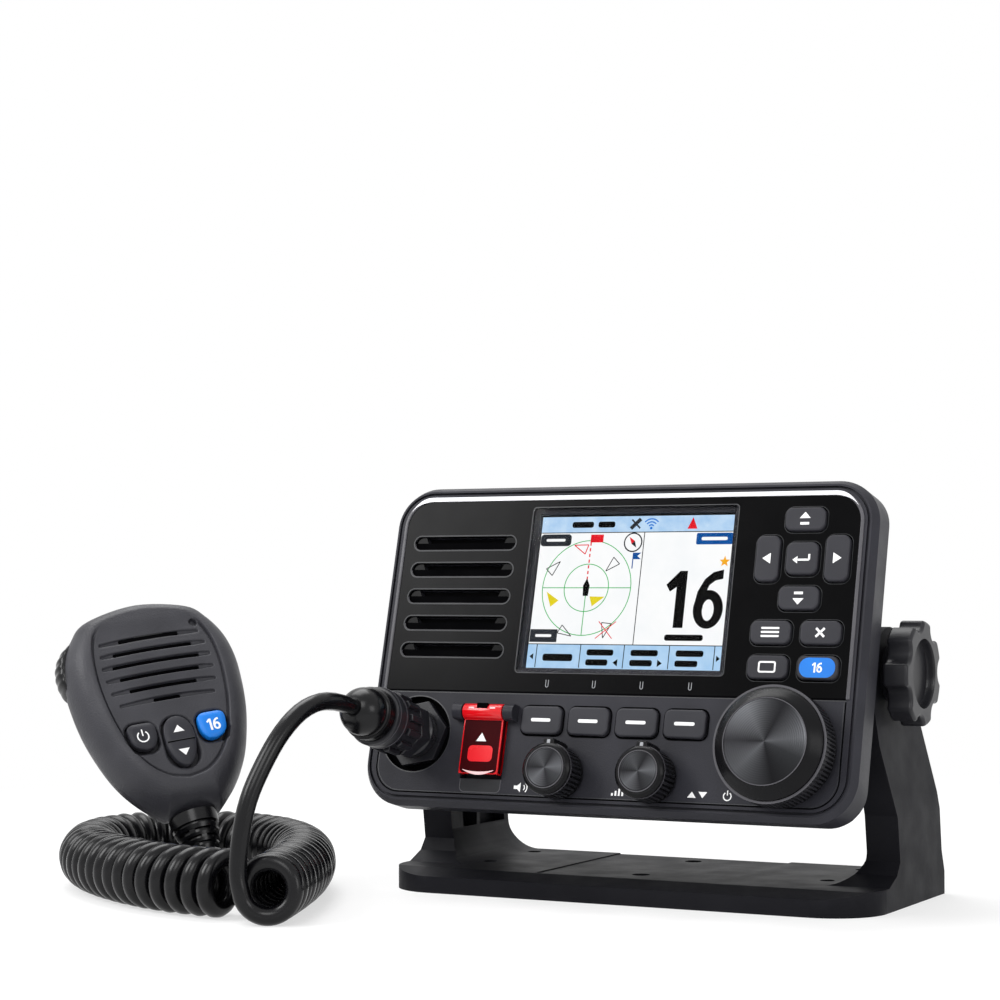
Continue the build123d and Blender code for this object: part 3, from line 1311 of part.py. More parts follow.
mic_front_body, mic_front_core = mic_shell(MIC_FRONT)
mic_rear_body, mic_rear_core = mic_shell(MIC_REAR)
mic_front_w = MIC_FRONT[-1][0]
mic_rear_w = MIC_REAR[-1][0]
mic_screw_head = mic_rear_w + MIC_SCREW_HEAD_T
mic_screw_end = mic_screw_head + MIC_SCREW_L
boot_plane = Plane(origin=MIC.origin, x_dir=MIC.x_dir, z_dir=MIC_UP)
MIC_KEYS = {
    "mic_power_key": (-MIC_KEY_U, MIC_KEY_V),
    "mic_key_16": (MIC_KEY_U, MIC_KEY_V),
}


# the cord boot's hole and the push-to-talk bar's window, cut through both shells
with BuildPart() as mic_side_openings:
    with BuildSketch(boot_plane.offset(-1)):
        Circle(MIC_BOOT_NECK_R + SEAT_GAP)
    extrude(amount=MIC_BOOT_NECK_L + 2)
    with BuildSketch(mic_at(PTT_AT_W - PTT_HALF_T - PART_GAP)):
        ptt_outline(PART_GAP, PTT_TRAVEL)
    extrude(amount=2 * (PTT_HALF_T + PART_GAP))

with BuildPart() as mic_front_shell:
    add(mic_front_body)
    add(mic_front_core, mode=Mode.SUBTRACT)
    # posts that take the screws
    with BuildSketch(mic_at(0)):
        with Locations(*MIC_SCREW_AT):
            Circle(MIC_POST_R)
    extrude(amount=mic_front_w - MIC_WALL / 2)
    with BuildSketch(mic_at(0)):
        with Locations(*MIC_SCREW_AT):
            Circle(MIC_SCREW_R + SEAT_GAP)
    extrude(amount=mic_screw_end + 1, mode=Mode.SUBTRACT)
    # keys, rocker, slots and microphone hole
    with BuildSketch(mic_at(mic_front_w)):
        for u, v in MIC_KEYS.values():
            with Locations((u, v)):
                RectangleRounded(
                    MIC_KEY[0] + 2 * KEY_GAP, MIC_KEY[1] + 2 * KEY_GAP, MIC_KEY_R + KEY_GAP
                )
        with Locations((0, ROCKER_V)):
            SlotOverall(ROCKER[1] + 2 * KEY_GAP, ROCKER[0] + 2 * KEY_GAP, rotation=90)
        for v, half in zip(MIC_SLOT_V, MIC_SLOT_HALF):
            with Locations((0, v)):
                SlotOverall(2 * half, MIC_SLOT_H)
        with Locations(MIC_HOLE_AT):
            Circle(MIC_HOLE_R)
    extrude(amount=-(MIC_WALL + 2), mode=Mode.SUBTRACT)
    add(mic_side_openings.part, mode=Mode.SUBTRACT)
finish(mic_front_shell.part, "mic_front_shell")

with BuildPart() as mic_rear_shell:
    add(mic_rear_body)
    add(mic_rear_core, mode=Mode.SUBTRACT)
    with BuildSketch(mic_at(-SEAT_GAP)):
        with Locations(*MIC_SCREW_AT):
            Circle(MIC_POST_R)
    extrude(amount=mic_rear_w + MIC_WALL / 2)
    with BuildSketch(mic_at(0)):
        with Locations(*MIC_SCREW_AT):
            Circle(MIC_SCREW_R + SEAT_GAP)
        with Locations((0, HANGER_V)):
            Circle(HANGER_STEM_R + SEAT_GAP)
    extrude(amount=mic_rear_w, mode=Mode.SUBTRACT)
    with BuildSketch(mic_at(mic_screw_head)):
        with Locations(*MIC_SCREW_AT):
            Circle(MIC_SCREW_HEAD_R + SEAT_GAP)
    extrude(amount=mic_rear_w, mode=Mode.SUBTRACT)
    add(mic_side_openings.part, mode=Mode.SUBTRACT)
finish(mic_rear_shell.part, "mic_rear_shell")

with BuildPart() as mic_boot:
    with BuildSketch(Plane(origin=MIC.origin, x_dir=MIC.x_dir, z_dir=MIC.z_dir)):
        with BuildLine():
            Polyline(
                (0, MIC_BOOT_NECK_L),
                (MIC_BOOT_NECK_R, MIC_BOOT_NECK_L),
                (MIC_BOOT_NECK_R, -SEAT_GAP),
                (MIC_BOOT_R[0], -SEAT_GAP),
                (MIC_BOOT_R[0], -MIC_BOOT_STRAIGHT),
                (MIC_BOOT_R[1], -MIC_BOOT_L),
                (0, -MIC_BOOT_L),
                close=True,
            )
        make_face()
    revolve(axis=Axis(MIC.origin, MIC_UP))
finish(mic_boot.part, "mic_boot")

# ------------------------------------------------------------------ inside the microphone
mic_speaker_front = mic_front_w - MIC_WALL - SEAT_GAP
with BuildPart() as mic_speaker:
    with BuildSketch(mic_at(mic_speaker_front, 0, MIC_SPEAKER_V)):
        Circle(MIC_SPEAKER_R)
    extrude(amount=-MIC_SPEAKER_T / 2)
    with BuildSketch(mic_at(mic_speaker_front, 0, MIC_SPEAKER_V)):
        Circle(MIC_SPEAKER_R / 2)
    extrude(amount=-MIC_SPEAKER_T)
finish(mic_speaker.part, "mic_speaker")

mic_board_top = mic_front_w - MIC_WALL - MIC_BOARD_DEPTH + 1
with BuildPart() as mic_board:
    with BuildSketch(mic_at(mic_board_top)):
        with Locations((0, MIC_BOARD_V)):
            Rectangle(*MIC_BOARD)
    extrude(amount=-BOARD_T)
finish(mic_board.part, "mic_board")

with BuildPart() as mic_screws:
    with BuildSketch(mic_at(mic_screw_head - SEAT_GAP)):
        with Locations(*MIC_SCREW_AT):
            Circle(MIC_SCREW_R)
    extrude(amount=MIC_SCREW_L)
    with BuildSketch(mic_at(mic_screw_head - SEAT_GAP)):
        with Locations(*MIC_SCREW_AT):
            Circle(MIC_SCREW_HEAD_R)
    extrude(amount=-MIC_SCREW_HEAD_T)
finish(mic_screws.part, "mic_screws")

with BuildPart() as mic_hanger_stud:
    with BuildSketch(mic_at(mic_rear_w - SEAT_GAP, 0, HANGER_V)):
        Circle(HANGER_NECK_R)
    extrude(amount=-HANGER_NECK_T)
    with BuildSketch(mic_at(mic_rear_w - SEAT_GAP - HANGER_NECK_T, 0, HANGER_V)):
        Circle(HANGER_R)
    extrude(amount=-HANGER_HEAD_T)
    with BuildSketch(mic_at(mic_rear_w - SEAT_GAP, 0, HANGER_V)):
        Circle(HANGER_STEM_R)
    extrude(amount=MIC_WALL + 1)
finish(mic_hanger_stud.part, "mic_hanger_stud")


# ------------------------------------------------------------------ microphone keys
def mic_key(u, v):
    """A key of the microphone with its flange and stem."""
    flange_top = mic_front_w - MIC_WALL - SEAT_GAP
    with BuildPart() as key:
        with BuildSketch(mic_at(flange_top, u, v)):
            RectangleRounded(*MIC_KEY, MIC_KEY_R)
        extrude(amount=MIC_WALL + SEAT_GAP + MIC_KEY_STAND)
        fillet(faces().sort_by(Axis(MIC.origin, MIC.z_dir))[-1].edges(), KEY_EDGE)
        with BuildSketch(mic_at(flange_top, u, v)):
            Rectangle(MIC_KEY_FLANGE_W, MIC_KEY[1] + 2 * KEY_GAP + 2 * KEY_FLANGE)
        extrude(amount=-KEY_FLANGE_T)
        with BuildSketch(mic_at(flange_top, u, v)):
            Circle(KEY_STEM_R)
        extrude(amount=-(flange_top - mic_board_top - MIC_KEY_TRAVEL - 0.1))
    return key.part


for name, (u, v) in MIC_KEYS.items():
    finish(mic_key(u, v), name)

rocker_pivot_w = mic_front_w - ROCKER_SINK
with BuildPart() as mic_channel_rocker:
    with BuildSketch(mic_at(rocker_pivot_w, 0, ROCKER_V)):
        SlotOverall(ROCKER[1], ROCKER[0], rotation=90)
    extrude(amount=ROCKER_SINK + MIC_KEY_STAND)
    fillet(faces().sort_by(Axis(MIC.origin, MIC.z_dir))[-1].edges(), KEY_EDGE)
    # its pivot pin
    pin_middle = MIC.from_local_coords((0, ROCKER_V, rocker_pivot_w))
    with BuildSketch(Plane(origin=pin_middle, x_dir=MIC_UP, z_dir=MIC_RIGHT)):
        Circle(ROCKER_PIN_R)
    extrude(amount=ROCKER_PIN_HALF, both=True)
finish(mic_channel_rocker.part, "mic_channel_rocker")

with BuildPart() as mic_ptt:
    with BuildSketch(mic_at(PTT_AT_W - PTT_HALF_T)):
        ptt_outline(0)
    extrude(amount=2 * PTT_HALF_T)
    fillet(faces().sort_by(Axis(MIC.origin, MIC.z_dir))[-1].edges(), PTT_EDGE)
    fillet(faces().sort_by(Axis(MIC.origin, MIC.z_dir))[0].edges(), PTT_EDGE)
finish(mic_ptt.part, "mic_ptt")
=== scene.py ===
"""The looks of a fixed-mount marine radio and its fist microphone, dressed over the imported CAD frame."""

import json
from math import cos, exp, hypot, pi, radians, sin

import bmesh
import bpy
from mathutils import Matrix, Vector

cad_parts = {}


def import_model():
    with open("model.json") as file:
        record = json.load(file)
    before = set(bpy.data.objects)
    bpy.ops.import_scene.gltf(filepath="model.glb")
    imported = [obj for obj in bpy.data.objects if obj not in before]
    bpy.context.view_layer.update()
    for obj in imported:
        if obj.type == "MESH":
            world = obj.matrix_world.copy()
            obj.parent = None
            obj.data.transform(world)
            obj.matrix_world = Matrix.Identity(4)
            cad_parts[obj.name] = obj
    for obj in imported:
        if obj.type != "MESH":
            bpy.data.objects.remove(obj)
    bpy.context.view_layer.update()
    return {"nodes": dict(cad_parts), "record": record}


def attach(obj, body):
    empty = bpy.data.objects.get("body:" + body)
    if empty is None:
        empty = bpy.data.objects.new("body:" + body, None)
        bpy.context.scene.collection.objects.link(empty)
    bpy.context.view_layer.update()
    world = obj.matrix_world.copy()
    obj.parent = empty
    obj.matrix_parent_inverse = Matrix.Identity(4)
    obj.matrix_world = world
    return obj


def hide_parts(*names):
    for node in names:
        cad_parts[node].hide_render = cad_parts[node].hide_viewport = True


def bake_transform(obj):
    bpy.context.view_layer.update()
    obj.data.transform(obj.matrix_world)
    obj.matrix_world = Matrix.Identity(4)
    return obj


TURN = 2 * pi
ROUND_STEPS = 96
EDGE_ANGLE = radians(40)

# the camera that took the view: its place, where it looks and how wide
CAMERA_AT = (0.37815, -0.836, 0.11441)
CAMERA_AZIMUTH = radians(27.93)
CAMERA_ELEVATION = radians(-1.74)
CAMERA_ROLL = radians(-0.12)
CAMERA_LENS = 90.49
CAMERA_SENSOR = 36.0

# the soft boxes: name, place, the point each one faces, size and power
LAMPS = (
    ("key", (-0.95, -0.95, 1.0), (-0.06, -0.06, 0.1), 0.7, 13),
    ("front", (0.35, -1.3, 1.05), (-0.05, -0.05, 0.08), 0.7, 7),
    ("fill", (1.2, -0.5, 0.45), (0.0, -0.04, 0.07), 0.5, 3),
    ("top", (-0.45, 0.22, 1.15), (-0.04, -0.04, 0.08), 0.8, 9),
)
ROOM_STRENGTH = 0.62
FLOOR_HALF = 4.0

# the body that a drawn piece rides on, and the slot that it belongs to
ON_CASE = ("set", "case_plastic")
ON_FASCIA = ("set", "fascia_gloss")
ON_SCREEN = ("set", "display_panel")
ON_COVER = ("body_distress_cover", "cover_red")
ON_RING = ("body_plug_ring", "connector_plastic")
ON_ROCKER = ("body_mic_channel_rocker", "key_rubber")
ON_BOOT = ("mount", "soft_rubber")

# the set's face leans back about the clamp knobs' axis
TILT = radians(14.84)
CLAMP_AXIS_AT = Vector((0, -0.004, 0.0807))
PANEL_FORWARD = 0.0373
PANEL_W = 0.183
PANEL_H = 0.1135
PANEL_R = 0.013
FASCIA_MARGIN = 0.0026
FASCIA_FOOT_V = -0.0178
TRIM_W = 0.0014
TRIM_RISE = 0.0005
TRIM_HALF_W = PANEL_W / 2 - FASCIA_MARGIN
TRIM_TOP = PANEL_H / 2 - FASCIA_MARGIN
TRIM_R = PANEL_R - FASCIA_MARGIN
INK_T = 0.00002
GROOVE_W = -0.0006
DEEP_GROOVE_W = -0.001

# the speaker's slots on the fascia
SLOT_U = -0.0634
SLOT_V = 0.0175
SLOT_PITCH = 0.01
SLOT_COUNT = 5
SLOT_W = 0.0424
SLOT_H = 0.0056
SLOT_LIP = 0.00045
SLOT_MOUTH_FOOT = 0.00025

# the screen
WINDOW_AT = (0.0034, 0.0202)
WINDOW_W = 0.08
WINDOW_H = 0.0608
WINDOW_R = 0.0015
SCREEN_AT = (0.0035, 0.0199)
SCREEN_W = 0.0754
SCREEN_H = 0.056
SCREEN_LEFT = SCREEN_AT[0] - SCREEN_W / 2
SCREEN_RIGHT = SCREEN_AT[0] + SCREEN_W / 2
SCREEN_LOW = SCREEN_AT[1] - SCREEN_H / 2
SCREEN_HIGH = SCREEN_AT[1] + SCREEN_H / 2
SCREEN_DEPTH = -0.0036
SCREEN_LAYER = 0.00004
WINDOW_RIM = 0.0005
# a bar's height and corner
SCREEN_BAR = (0.0022, 0.0008)
HEADER_H = 0.0058
FOOTER_H = 0.0089
DIVIDER_U = 0.00665
FOOTER_LINES_U = (-0.0308, -0.0135, 0.0035, 0.0208, 0.0378)
FOOTER_CELLS_U = (-0.0221, -0.005, 0.0121, 0.0293)
RADAR_AT = (-0.0138, 0.0216)
RADAR_R = 0.0174
COMPASS_AT = (0.0027, 0.0382)
WAVES_AT = (0.0091, 0.0434)
LINE_W = 0.0003

# the keys
KEY_STAND = 0.0016
COLUMN_U = 0.0687
CROSS_V = 0.0308
CROSS_U_STEP = 0.0126
CROSS_V_STEP = 0.0139
PAIR_U_STEP = 0.009
MENU_V = 0.0049
DISPLAY_KEY_V = -0.0072
WIDE_KEY = (0.0146, 0.0083)
TALL_KEY = (0.0087, 0.0163)
MIDDLE_KEY = (0.0116, 0.0115)
SOFT_U = 0.00415
SOFT_V = -0.0275
SOFT_PITCH = 0.0183
SOFT_COUNT = 4
SOFT_KEY = (0.0157, 0.01)
SOFT_KEY_R = 0.0024
KEY_GAP = 0.00045
SOFT_DASH = (0.0076, 0.0012)
SOFT_TICK_V = -0.0141
SIGN_V = -0.0514
POWER_FROM = radians(125)
POWER_TO = radians(415)

# the distress switch
DISTRESS_U = -0.0452
HINGE_V = -0.0254
COVER_W = 0.0156
COVER_FOOT_V = -0.0476
COVER_TOP = 0.0028
POCKET_HALF = 0.0081
POCKET_TOP_V = -0.049
POCKET_FOOT_V = -0.0537
POCKET_R = 0.0018

# the knobs
SMALL_GRIP_W = (0.0026, 0.0106)
BIG_GRIP_W = (0.0034, 0.0124)
GRIP_RIBS = {"volume": 34, "squelch": 34, "channel": 84}
RIB_STEPS = 8
RIB_DIP = 0.0005
SMALL_KNOB_U = (-0.0138, 0.0214)
SMALL_KNOB_V = -0.0463
SMALL_KNOB_R = 0.009
SMALL_KNOB_TOP = 0.013
SMALL_DISC_R = 0.0069
POINTER = [(-0.0024, 0.0074), (0.0024, 0.0074), (0.0019, 0.0106), (-0.0019, 0.0106)]
BIG_KNOB_AT = (0.0676, -0.0356)
BIG_KNOB_R = 0.0198
BIG_KNOB_TOP = 0.017
BIG_DISC_R = 0.0151

# the plug
JACK_AT = (-0.0736, -0.0335)
RECESS_R = 0.0138
RECESS_DEPTH = 0.0026
RECESS_HOLE_R = 0.0105
RING_HEX_AF = 0.018
RING_HEX_TURN = radians(12)
RING_WAIST_R = 0.0094
RING_HEX_FOOT = 0.0061
RING_FOOT = 0.0126
RING_TOP = 0.0314
RING_R = 0.0104
RING_BANDS_W = (0.0252, 0.0296)
RING_WAIST_TOP = 0.0228
RING_NECK_R = 0.0086
LUG_R = (0.0088, 0.0109)
LUG_HALF = (0.15, 0.11)
LUG_W = (0.0138, 0.0222)
BOOT_FOOT = 0.0317
BOOT_COLLAR_R = 0.0094
BOOT_GROOVE_R = 0.0088
BOOT_TOP = 0.0455
BOOT_RINGS = 4
BOOT_RING_STEP = 0.00098
BALL_R = 0.0085
BALL_W = 0.0378
COUPLING_LUGS = 12

# the microphone stands on its strain relief and leans back and left
MIC_COLLAR = Vector((-0.15375, -0.0732, 0.0266))
MIC_FACING = radians(48.6)
MIC_LEAN_BACK = radians(28.3)
MIC_LEAN_LEFT = radians(9.4)
MIC_BOOT_L = 0.0155
# its radius at the shells and at its tip
MIC_BOOT_R = (0.009, 0.0057)
MIC_BOOT_COLLAR = 0.0035
MIC_SCALE_V = 0.048
MIC_OUTLINE = [
    (0.0104, 0.0), (0.0146, 0.004), (0.0196, 0.0095), (0.025, 0.018), (0.0286, 0.027),
    (0.0316, 0.038), (0.0331, 0.05), (0.0331, 0.06), (0.031, 0.0695), (0.0262, 0.0775),
    (0.0196, 0.0832), (0.0, 0.087),
]
MIC_FRONT_W = 0.0126
MIC_WALL = 0.0012
MIC_SPOKES = 540
MIC_FACE_ROWS = 150
MIC_EDGE_ROWS = 34
MIC_FACE_SHARE = 0.78
MIC_FACE_STEP = 0.0009
MIC_FACE_GROOVE = 0.0008
MIC_BROW = 0.0036
MIC_KEY_TOP = 0.0131
MIC_MOUTH_W = (-0.0025, -0.0013)
MIC_SPEAKER_W = 0.01018
MIC_SEAT_DEPTH = 0.0036
MIC_FACE_OUTLINE = [
    (0.0, 0.0105), (0.0078, 0.0125), (0.0146, 0.0185), (0.0195, 0.0275), (0.0226, 0.038),
    (0.0242, 0.05), (0.0242, 0.06), (0.023, 0.068), (0.0203, 0.0748), (0.0145, 0.0792),
    (0.0, 0.0815),
]
# each speaker slot's height, half width and its mouth's half width
MIC_SLOTS = [
    (0.0693, 0.0197, 0.0115), (0.0641, 0.0207, 0.0153), (0.059, 0.0213, 0.0168),
    (0.0538, 0.0211, 0.0154), (0.0486, 0.0205, 0.013), (0.0434, 0.0187, 0.0052),
]
SLOT_SEEN = 0.0025
# a slot's trough and its mouth: the depth, half the height and the width of the soft edge
SLOT_TROUGH = (0.001, 0.0006, 0.0006)
SLOT_DEEP = (0.0024, 0.00062, 0.00016)
MIC_FACE_ENDS = (0.07, 0.079)
MIC_BROW_FROM = 0.058
MIC_BROW_RUN = 0.03
# the powers that round the front off towards the parting line
MIC_BULGE = (2.05, 0.54)
MIC_HOLE_AT = (0.0185, 0.0729)
MIC_HOLE_R = 0.0013
MIC_HOLE_DEPTH = 0.0018
MIC_KEY_AT = (0.0136, 0.0294)
MIC_KEY_CORNERS = [
    (-0.0056, 0.0054), (0.0056, 0.0054), (0.0054, -0.0032), (0.0016, -0.0058), (-0.0046, -0.0036),
]
MIC_KEY_RADII = (0.0034, 0.0034, 0.0034, 0.0026, 0.0034)
# the seats' half width, half height and corner, then a sign's stem: foot, top and half width
KEY_SEAT = (0.0059, 0.0059, 0.004)
ROCKER_SEAT = (0.0059, 0.0102, 0.0058)
MIC_SIGN_STEM = (0.0002, 0.0028, 0.00025)
ROCKER_V = 0.0254
ROCKER_HALF = (0.0058, 0.0101)
PTT_FROM = 0.0555
PTT_TO = 0.077
PTT_W = -0.002
PTT_HALF = 0.005
PTT_PROUD = 0.003
PTT_RIBS = 7
PTT_ROWS = 90
PTT_COLUMNS = 16
# each groove's start, stop and depth, down from the shells
RELIEF_GROOVES = (
    (0.0045, 0.0053, 0.0011),
    (0.0072, 0.0084, 0.0012),
    (0.0098, 0.0106, 0.0011),
    (0.0121, 0.0131, 0.001),
)
RELIEF_WEBS = 6
RELIEF_WEB_HALF = 0.13

# cord
CORD_D = 0.0062
COIL_D = 0.0235
COIL_TURNS = 51
COIL_TURN_POINTS = 14
CORD_STEPS = 4
TAIL_LIFT = 0.0001
LEAD_STRAIGHT = 0.013
# the lead's points, from the plug's straight run down to the coil
LEAD_POINTS = [
    (-0.0763, -0.1185, 0.0712), (-0.079, -0.1293, 0.063), (-0.0816, -0.1366, 0.0522),
    (-0.0842, -0.1418, 0.041), (-0.0856, -0.1442, 0.0285), (-0.086, -0.1452, 0.0165),
]
COIL_POINTS = [
    (-0.0765, -0.142), (-0.088, -0.111), (-0.104, -0.076), (-0.124, -0.045), (-0.152, -0.023),
    (-0.183, -0.018), (-0.204, -0.035), (-0.2055, -0.062), (-0.190, -0.088), (-0.167, -0.107),
    (-0.140, -0.122), (-0.118, -0.1295), (-0.098, -0.1315),
]
TAIL_POINTS = [
    (-0.0975, -0.1226, 0.0062), (-0.099, -0.116, 0.0033), (-0.1065, -0.106, 0.0033),
    (-0.1185, -0.096, 0.0033), (-0.131, -0.086, 0.0033),
]


class Frame:
    """A leaning working plane: u across, v up it and w out of it."""

    def __init__(self, origin, across, up, out):
        self.origin = Vector(origin)
        self.across = Vector(across)
        self.up = Vector(up)
        self.out = Vector(out)

    def at(self, u, v, w=0.0):
        """A point of the plane in the part's own frame."""
        return self.origin + self.across * u + self.up * v + self.out * w

    def matrix(self, u=0.0, v=0.0, w=0.0):
        """The placement of a piece drawn about its own zero."""
        turned = Matrix((self.across, self.up, self.out)).transposed().to_4x4()
        return Matrix.Translation(self.at(u, v, w)) @ turned


def face_frame():
    """The plane of the set's front panel."""
    out = Vector((0, -cos(TILT), sin(TILT)))
    return Frame(CLAMP_AXIS_AT + out * PANEL_FORWARD, (1, 0, 0), (0, sin(TILT), cos(TILT)), out)


def mic_frame():
    """The microphone's parting plane, from the top of its strain relief."""
    out_level = Vector((sin(MIC_FACING), -cos(MIC_FACING), 0))
    right_level = Vector((cos(MIC_FACING), sin(MIC_FACING), 0))
    up_level = Vector((0, 0, 1))
    up_back = up_level * cos(MIC_LEAN_BACK) - out_level * sin(MIC_LEAN_BACK)
    out = out_level * cos(MIC_LEAN_BACK) + up_level * sin(MIC_LEAN_BACK)
    up = up_back * cos(MIC_LEAN_LEFT) - right_level * sin(MIC_LEAN_LEFT)
    across = right_level * cos(MIC_LEAN_LEFT) + up_back * sin(MIC_LEAN_LEFT)
    return Frame(MIC_COLLAR, across, up, out)


FACE = face_frame()
MIC = mic_frame()


# --- materials ---

# name, dark and light tone, smooth and rough limit, the grain's size and height, and the shine
MOULDED = (
    ("case_plastic", "#242429", "#2c2c32", 0.36, 0.46, 0.0004, 0.00006, 0.14),
    ("fascia_gloss", "#020203", "#040405", 0.16, 0.20, 0.004, 0.000001, 0.06),
    ("painted_aluminium", "#141418", "#19191d", 0.46, 0.58, 0.0005, 0.00004, 0.08),
    ("key_rubber", "#28282d", "#2e2e33", 0.34, 0.44, 0.0003, 0.000006, 0.18),
    ("key_blue", "#0f6cc8", "#1478d6", 0.30, 0.40, 0.0003, 0.000006, 0.3),
    ("knob_plastic", "#0b0b0d", "#101012", 0.24, 0.32, 0.0003, 0.000006, 0.12),
    ("soft_rubber", "#050507", "#09090c", 0.2, 0.28, 0.0003, 0.000003, 0.26),
    ("connector_plastic", "#17171b", "#1e1e23", 0.26, 0.36, 0.0004, 0.000006, 0.3),
    ("button_red", "#d0141c", "#e0202a", 0.25, 0.35, 0.0004, 0.000006, 0.3),
    ("circuit_board", "#0d4a2c", "#125a38", 0.35, 0.50, 0.0012, 0.00003, 0.3),
    ("speaker_cone", "#101012", "#161618", 0.60, 0.75, 0.0006, 0.00005, 0.3),
    ("cloth", "#050506", "#0a0a0c", 0.80, 0.95, 0.0005, 0.0001, 0.1),
    ("washer_plastic", "#101114", "#16171a", 0.40, 0.50, 0.0004, 0.00001, 0.3),
    ("display_panel", "#08090a", "#0c0d0f", 0.30, 0.40, 0.0010, 0.000002, 0.1),
    ("cover_red", "#c40812", "#d8101a", 0.10, 0.16, 0.002, 0.000002, 0.5),
    ("edge_grey", "#222327", "#2a2b2f", 0.28, 0.38, 0.0004, 0.000004, 0.5),
    # matt near black laid into gaps, grooves and mouths as painted shade
    ("recess_painted_shade", "#020203", "#040405", 0.7, 0.9, 0.0006, 0.00001, 0.02),
    # painted shade: the dark red of the cover's window and its side
    ("painted_shade_red", "#2a0206", "#380408", 0.45, 0.55, 0.002, 0.000002, 0.04),
    ("ring_grey", "#1e1f22", "#242528", 0.3, 0.4, 0.0004, 0.000004, 0.3),
    ("mic_plastic", "#2a2a2f", "#36363b", 0.36, 0.5, 0.0007, 0.00014, 0.3),
    ("clamp_plastic", "#17171b", "#1e1e22", 0.3, 0.4, 0.0004, 0.00001, 0.3),
    # painted highlight: near white
    ("bright", "#dcdce0", "#f0f0f4", 0.25, 0.35, 0.0004, 0.000001, 0.4),
    # satin grey for the groove's satin line, also laid as painted highlight lines along edges
    ("trim_and_painted_highlight", "#3c3b40", "#454449", 0.3, 0.4, 0.0004, 0.000001, 0.4),
    # painted highlight: pale pink on the red cover
    ("pink_painted_highlight", "#f2b8bc", "#fbd5d6", 0.12, 0.2, 0.002, 0.000002, 0.5),
)
METALS = (
    ("steel", "#9a9c9f", "#b0b2b5", 0.32),
    ("brass", "#b08d4c", "#c6a25c", 0.30),
    ("nickel", "#b4b6b8", "#cacccd", 0.22),
)
INKS = (("ink_white", "#e6e6e6", "#f2f2f2"), ("ink_grey", "#8c8e92", "#9b9da1"))
LIT = (
    ("lit_white", "#fcfdfd", "#ffffff"),
    ("lit_black", "#050505", "#0b0b0b"),
    ("lit_header", "#a9cdf0", "#c6e0f8"),
    ("lit_footer", "#a6ccee", "#b8d8f4"),
    ("lit_green", "#1fae4c", "#2fbb5a"),
    ("lit_red", "#e01522", "#ec2430"),
    ("lit_yellow", "#e2cf1c", "#ecd92c"),
    ("lit_navy", "#0e4a92", "#1556a0"),
    ("lit_blue", "#1272d0", "#1c7cdc"),
    ("lit_grey", "#26292d", "#30343a"),
    ("lit_star", "#f4a614", "#fbb52a"),
)
# painted reflection on the knobs' spun discs: the shade and highlight colours of its sectors
DISC_PAINTED_SHADE = "#202022"
DISC_PAINTED_HIGHLIGHT = "#4e4f52"
# the places round a disc where its painted reflection turns between dark and light, after the first dark and
# light
DISC_PAINTED_REFLECTION_STOPS = (
    (0.3, DISC_PAINTED_SHADE),
    (0.44, "#303133"),
    (0.52, DISC_PAINTED_HIGHLIGHT),
    (0.68, DISC_PAINTED_SHADE),
    (0.84, "#37383a"),
    (1.0, DISC_PAINTED_SHADE),
)
SHADER = "Principled BSDF"
NOISE_MIDDLE = (0.3, 0.7)
TONE_PATCH = 0.018
WEAR_PATCH = 0.012
METAL_PATCH = 0.006
METAL_WEAR = 0.004
INK_PATCH = 0.0008
INK_WEAR = 0.0006
LIT_PATCH = 0.004
SPUN_RINGS = 420.0
SPUN_DEPTH = 0.00003
LOOKS = {}


def tone(code):
    """The linear colour that a hex code stands for."""
    shares = [int(code[i : i + 2], 16) / 255 for i in (1, 3, 5)]
    linear = [c / 12.92 if c <= 0.04045 else ((c + 0.055) / 1.055) ** 2.4 for c in shares]
    return (*linear, 1.0)


def add_node(tree, kind, **values):
    """A new node of a material with its sockets set."""
    node = tree.nodes.new(kind)
    for socket, value in values.items():
        node.inputs[socket].default_value = value
    return node


def new_material(name, roughness, **sockets):
    """A material with its constants on the shader's own sockets."""
    made = bpy.data.materials.new(name)
    made.use_nodes = True
    shader = made.node_tree.nodes[SHADER]
    shader.inputs["Roughness"].default_value = roughness
    for socket, value in sockets.items():
        shader.inputs[socket.replace("_", " ")].default_value = value
    return made


def noise(tree, size, detail=2.0):
    """Noise whose spots are about this many metres across."""
    place = tree.nodes.new("ShaderNodeTexCoord")
    spots = add_node(tree, "ShaderNodeTexNoise", Scale=1 / size, Detail=detail)
    tree.links.new(place.outputs["Object"], spots.inputs["Vector"])
    return spots.outputs["Fac"]


def spread(tree, source, low, high):
    """The noise's middle range stretched between two values."""
    least, most = NOISE_MIDDLE
    limits = {"From Min": least, "From Max": most, "To Min": low, "To Max": high}
    ramp = add_node(tree, "ShaderNodeMapRange", **limits)
    tree.links.new(source, ramp.inputs["Value"])
    return ramp.outputs["Result"]


def two_tones(made, dark, light, size, socket="Base Color"):
    """The colour drifts between two near tones in soft patches."""
    tree = made.node_tree
    mix = add_node(tree, "ShaderNodeMix")
    mix.data_type = "RGBA"
    mix.inputs[6].default_value = tone(dark)
    mix.inputs[7].default_value = tone(light)
    tree.links.new(spread(tree, noise(tree, size), 0, 1), mix.inputs["Factor"])
    tree.links.new(mix.outputs[2], tree.nodes[SHADER].inputs[socket])


def bumped(tree, height, strength, depth):
    """A height that shows as bumps in the shading."""
    bump = add_node(tree, "ShaderNodeBump", Strength=strength, Distance=depth)
    tree.links.new(height, bump.inputs["Height"])
    tree.links.new(bump.outputs["Normal"], tree.nodes[SHADER].inputs["Normal"])


def worn(made, smooth, rough, size):
    """Roughness that drifts as handling leaves it."""
    tree = made.node_tree
    patches = spread(tree, noise(tree, size, 4.0), smooth, rough)
    tree.links.new(patches, tree.nodes[SHADER].inputs["Roughness"])


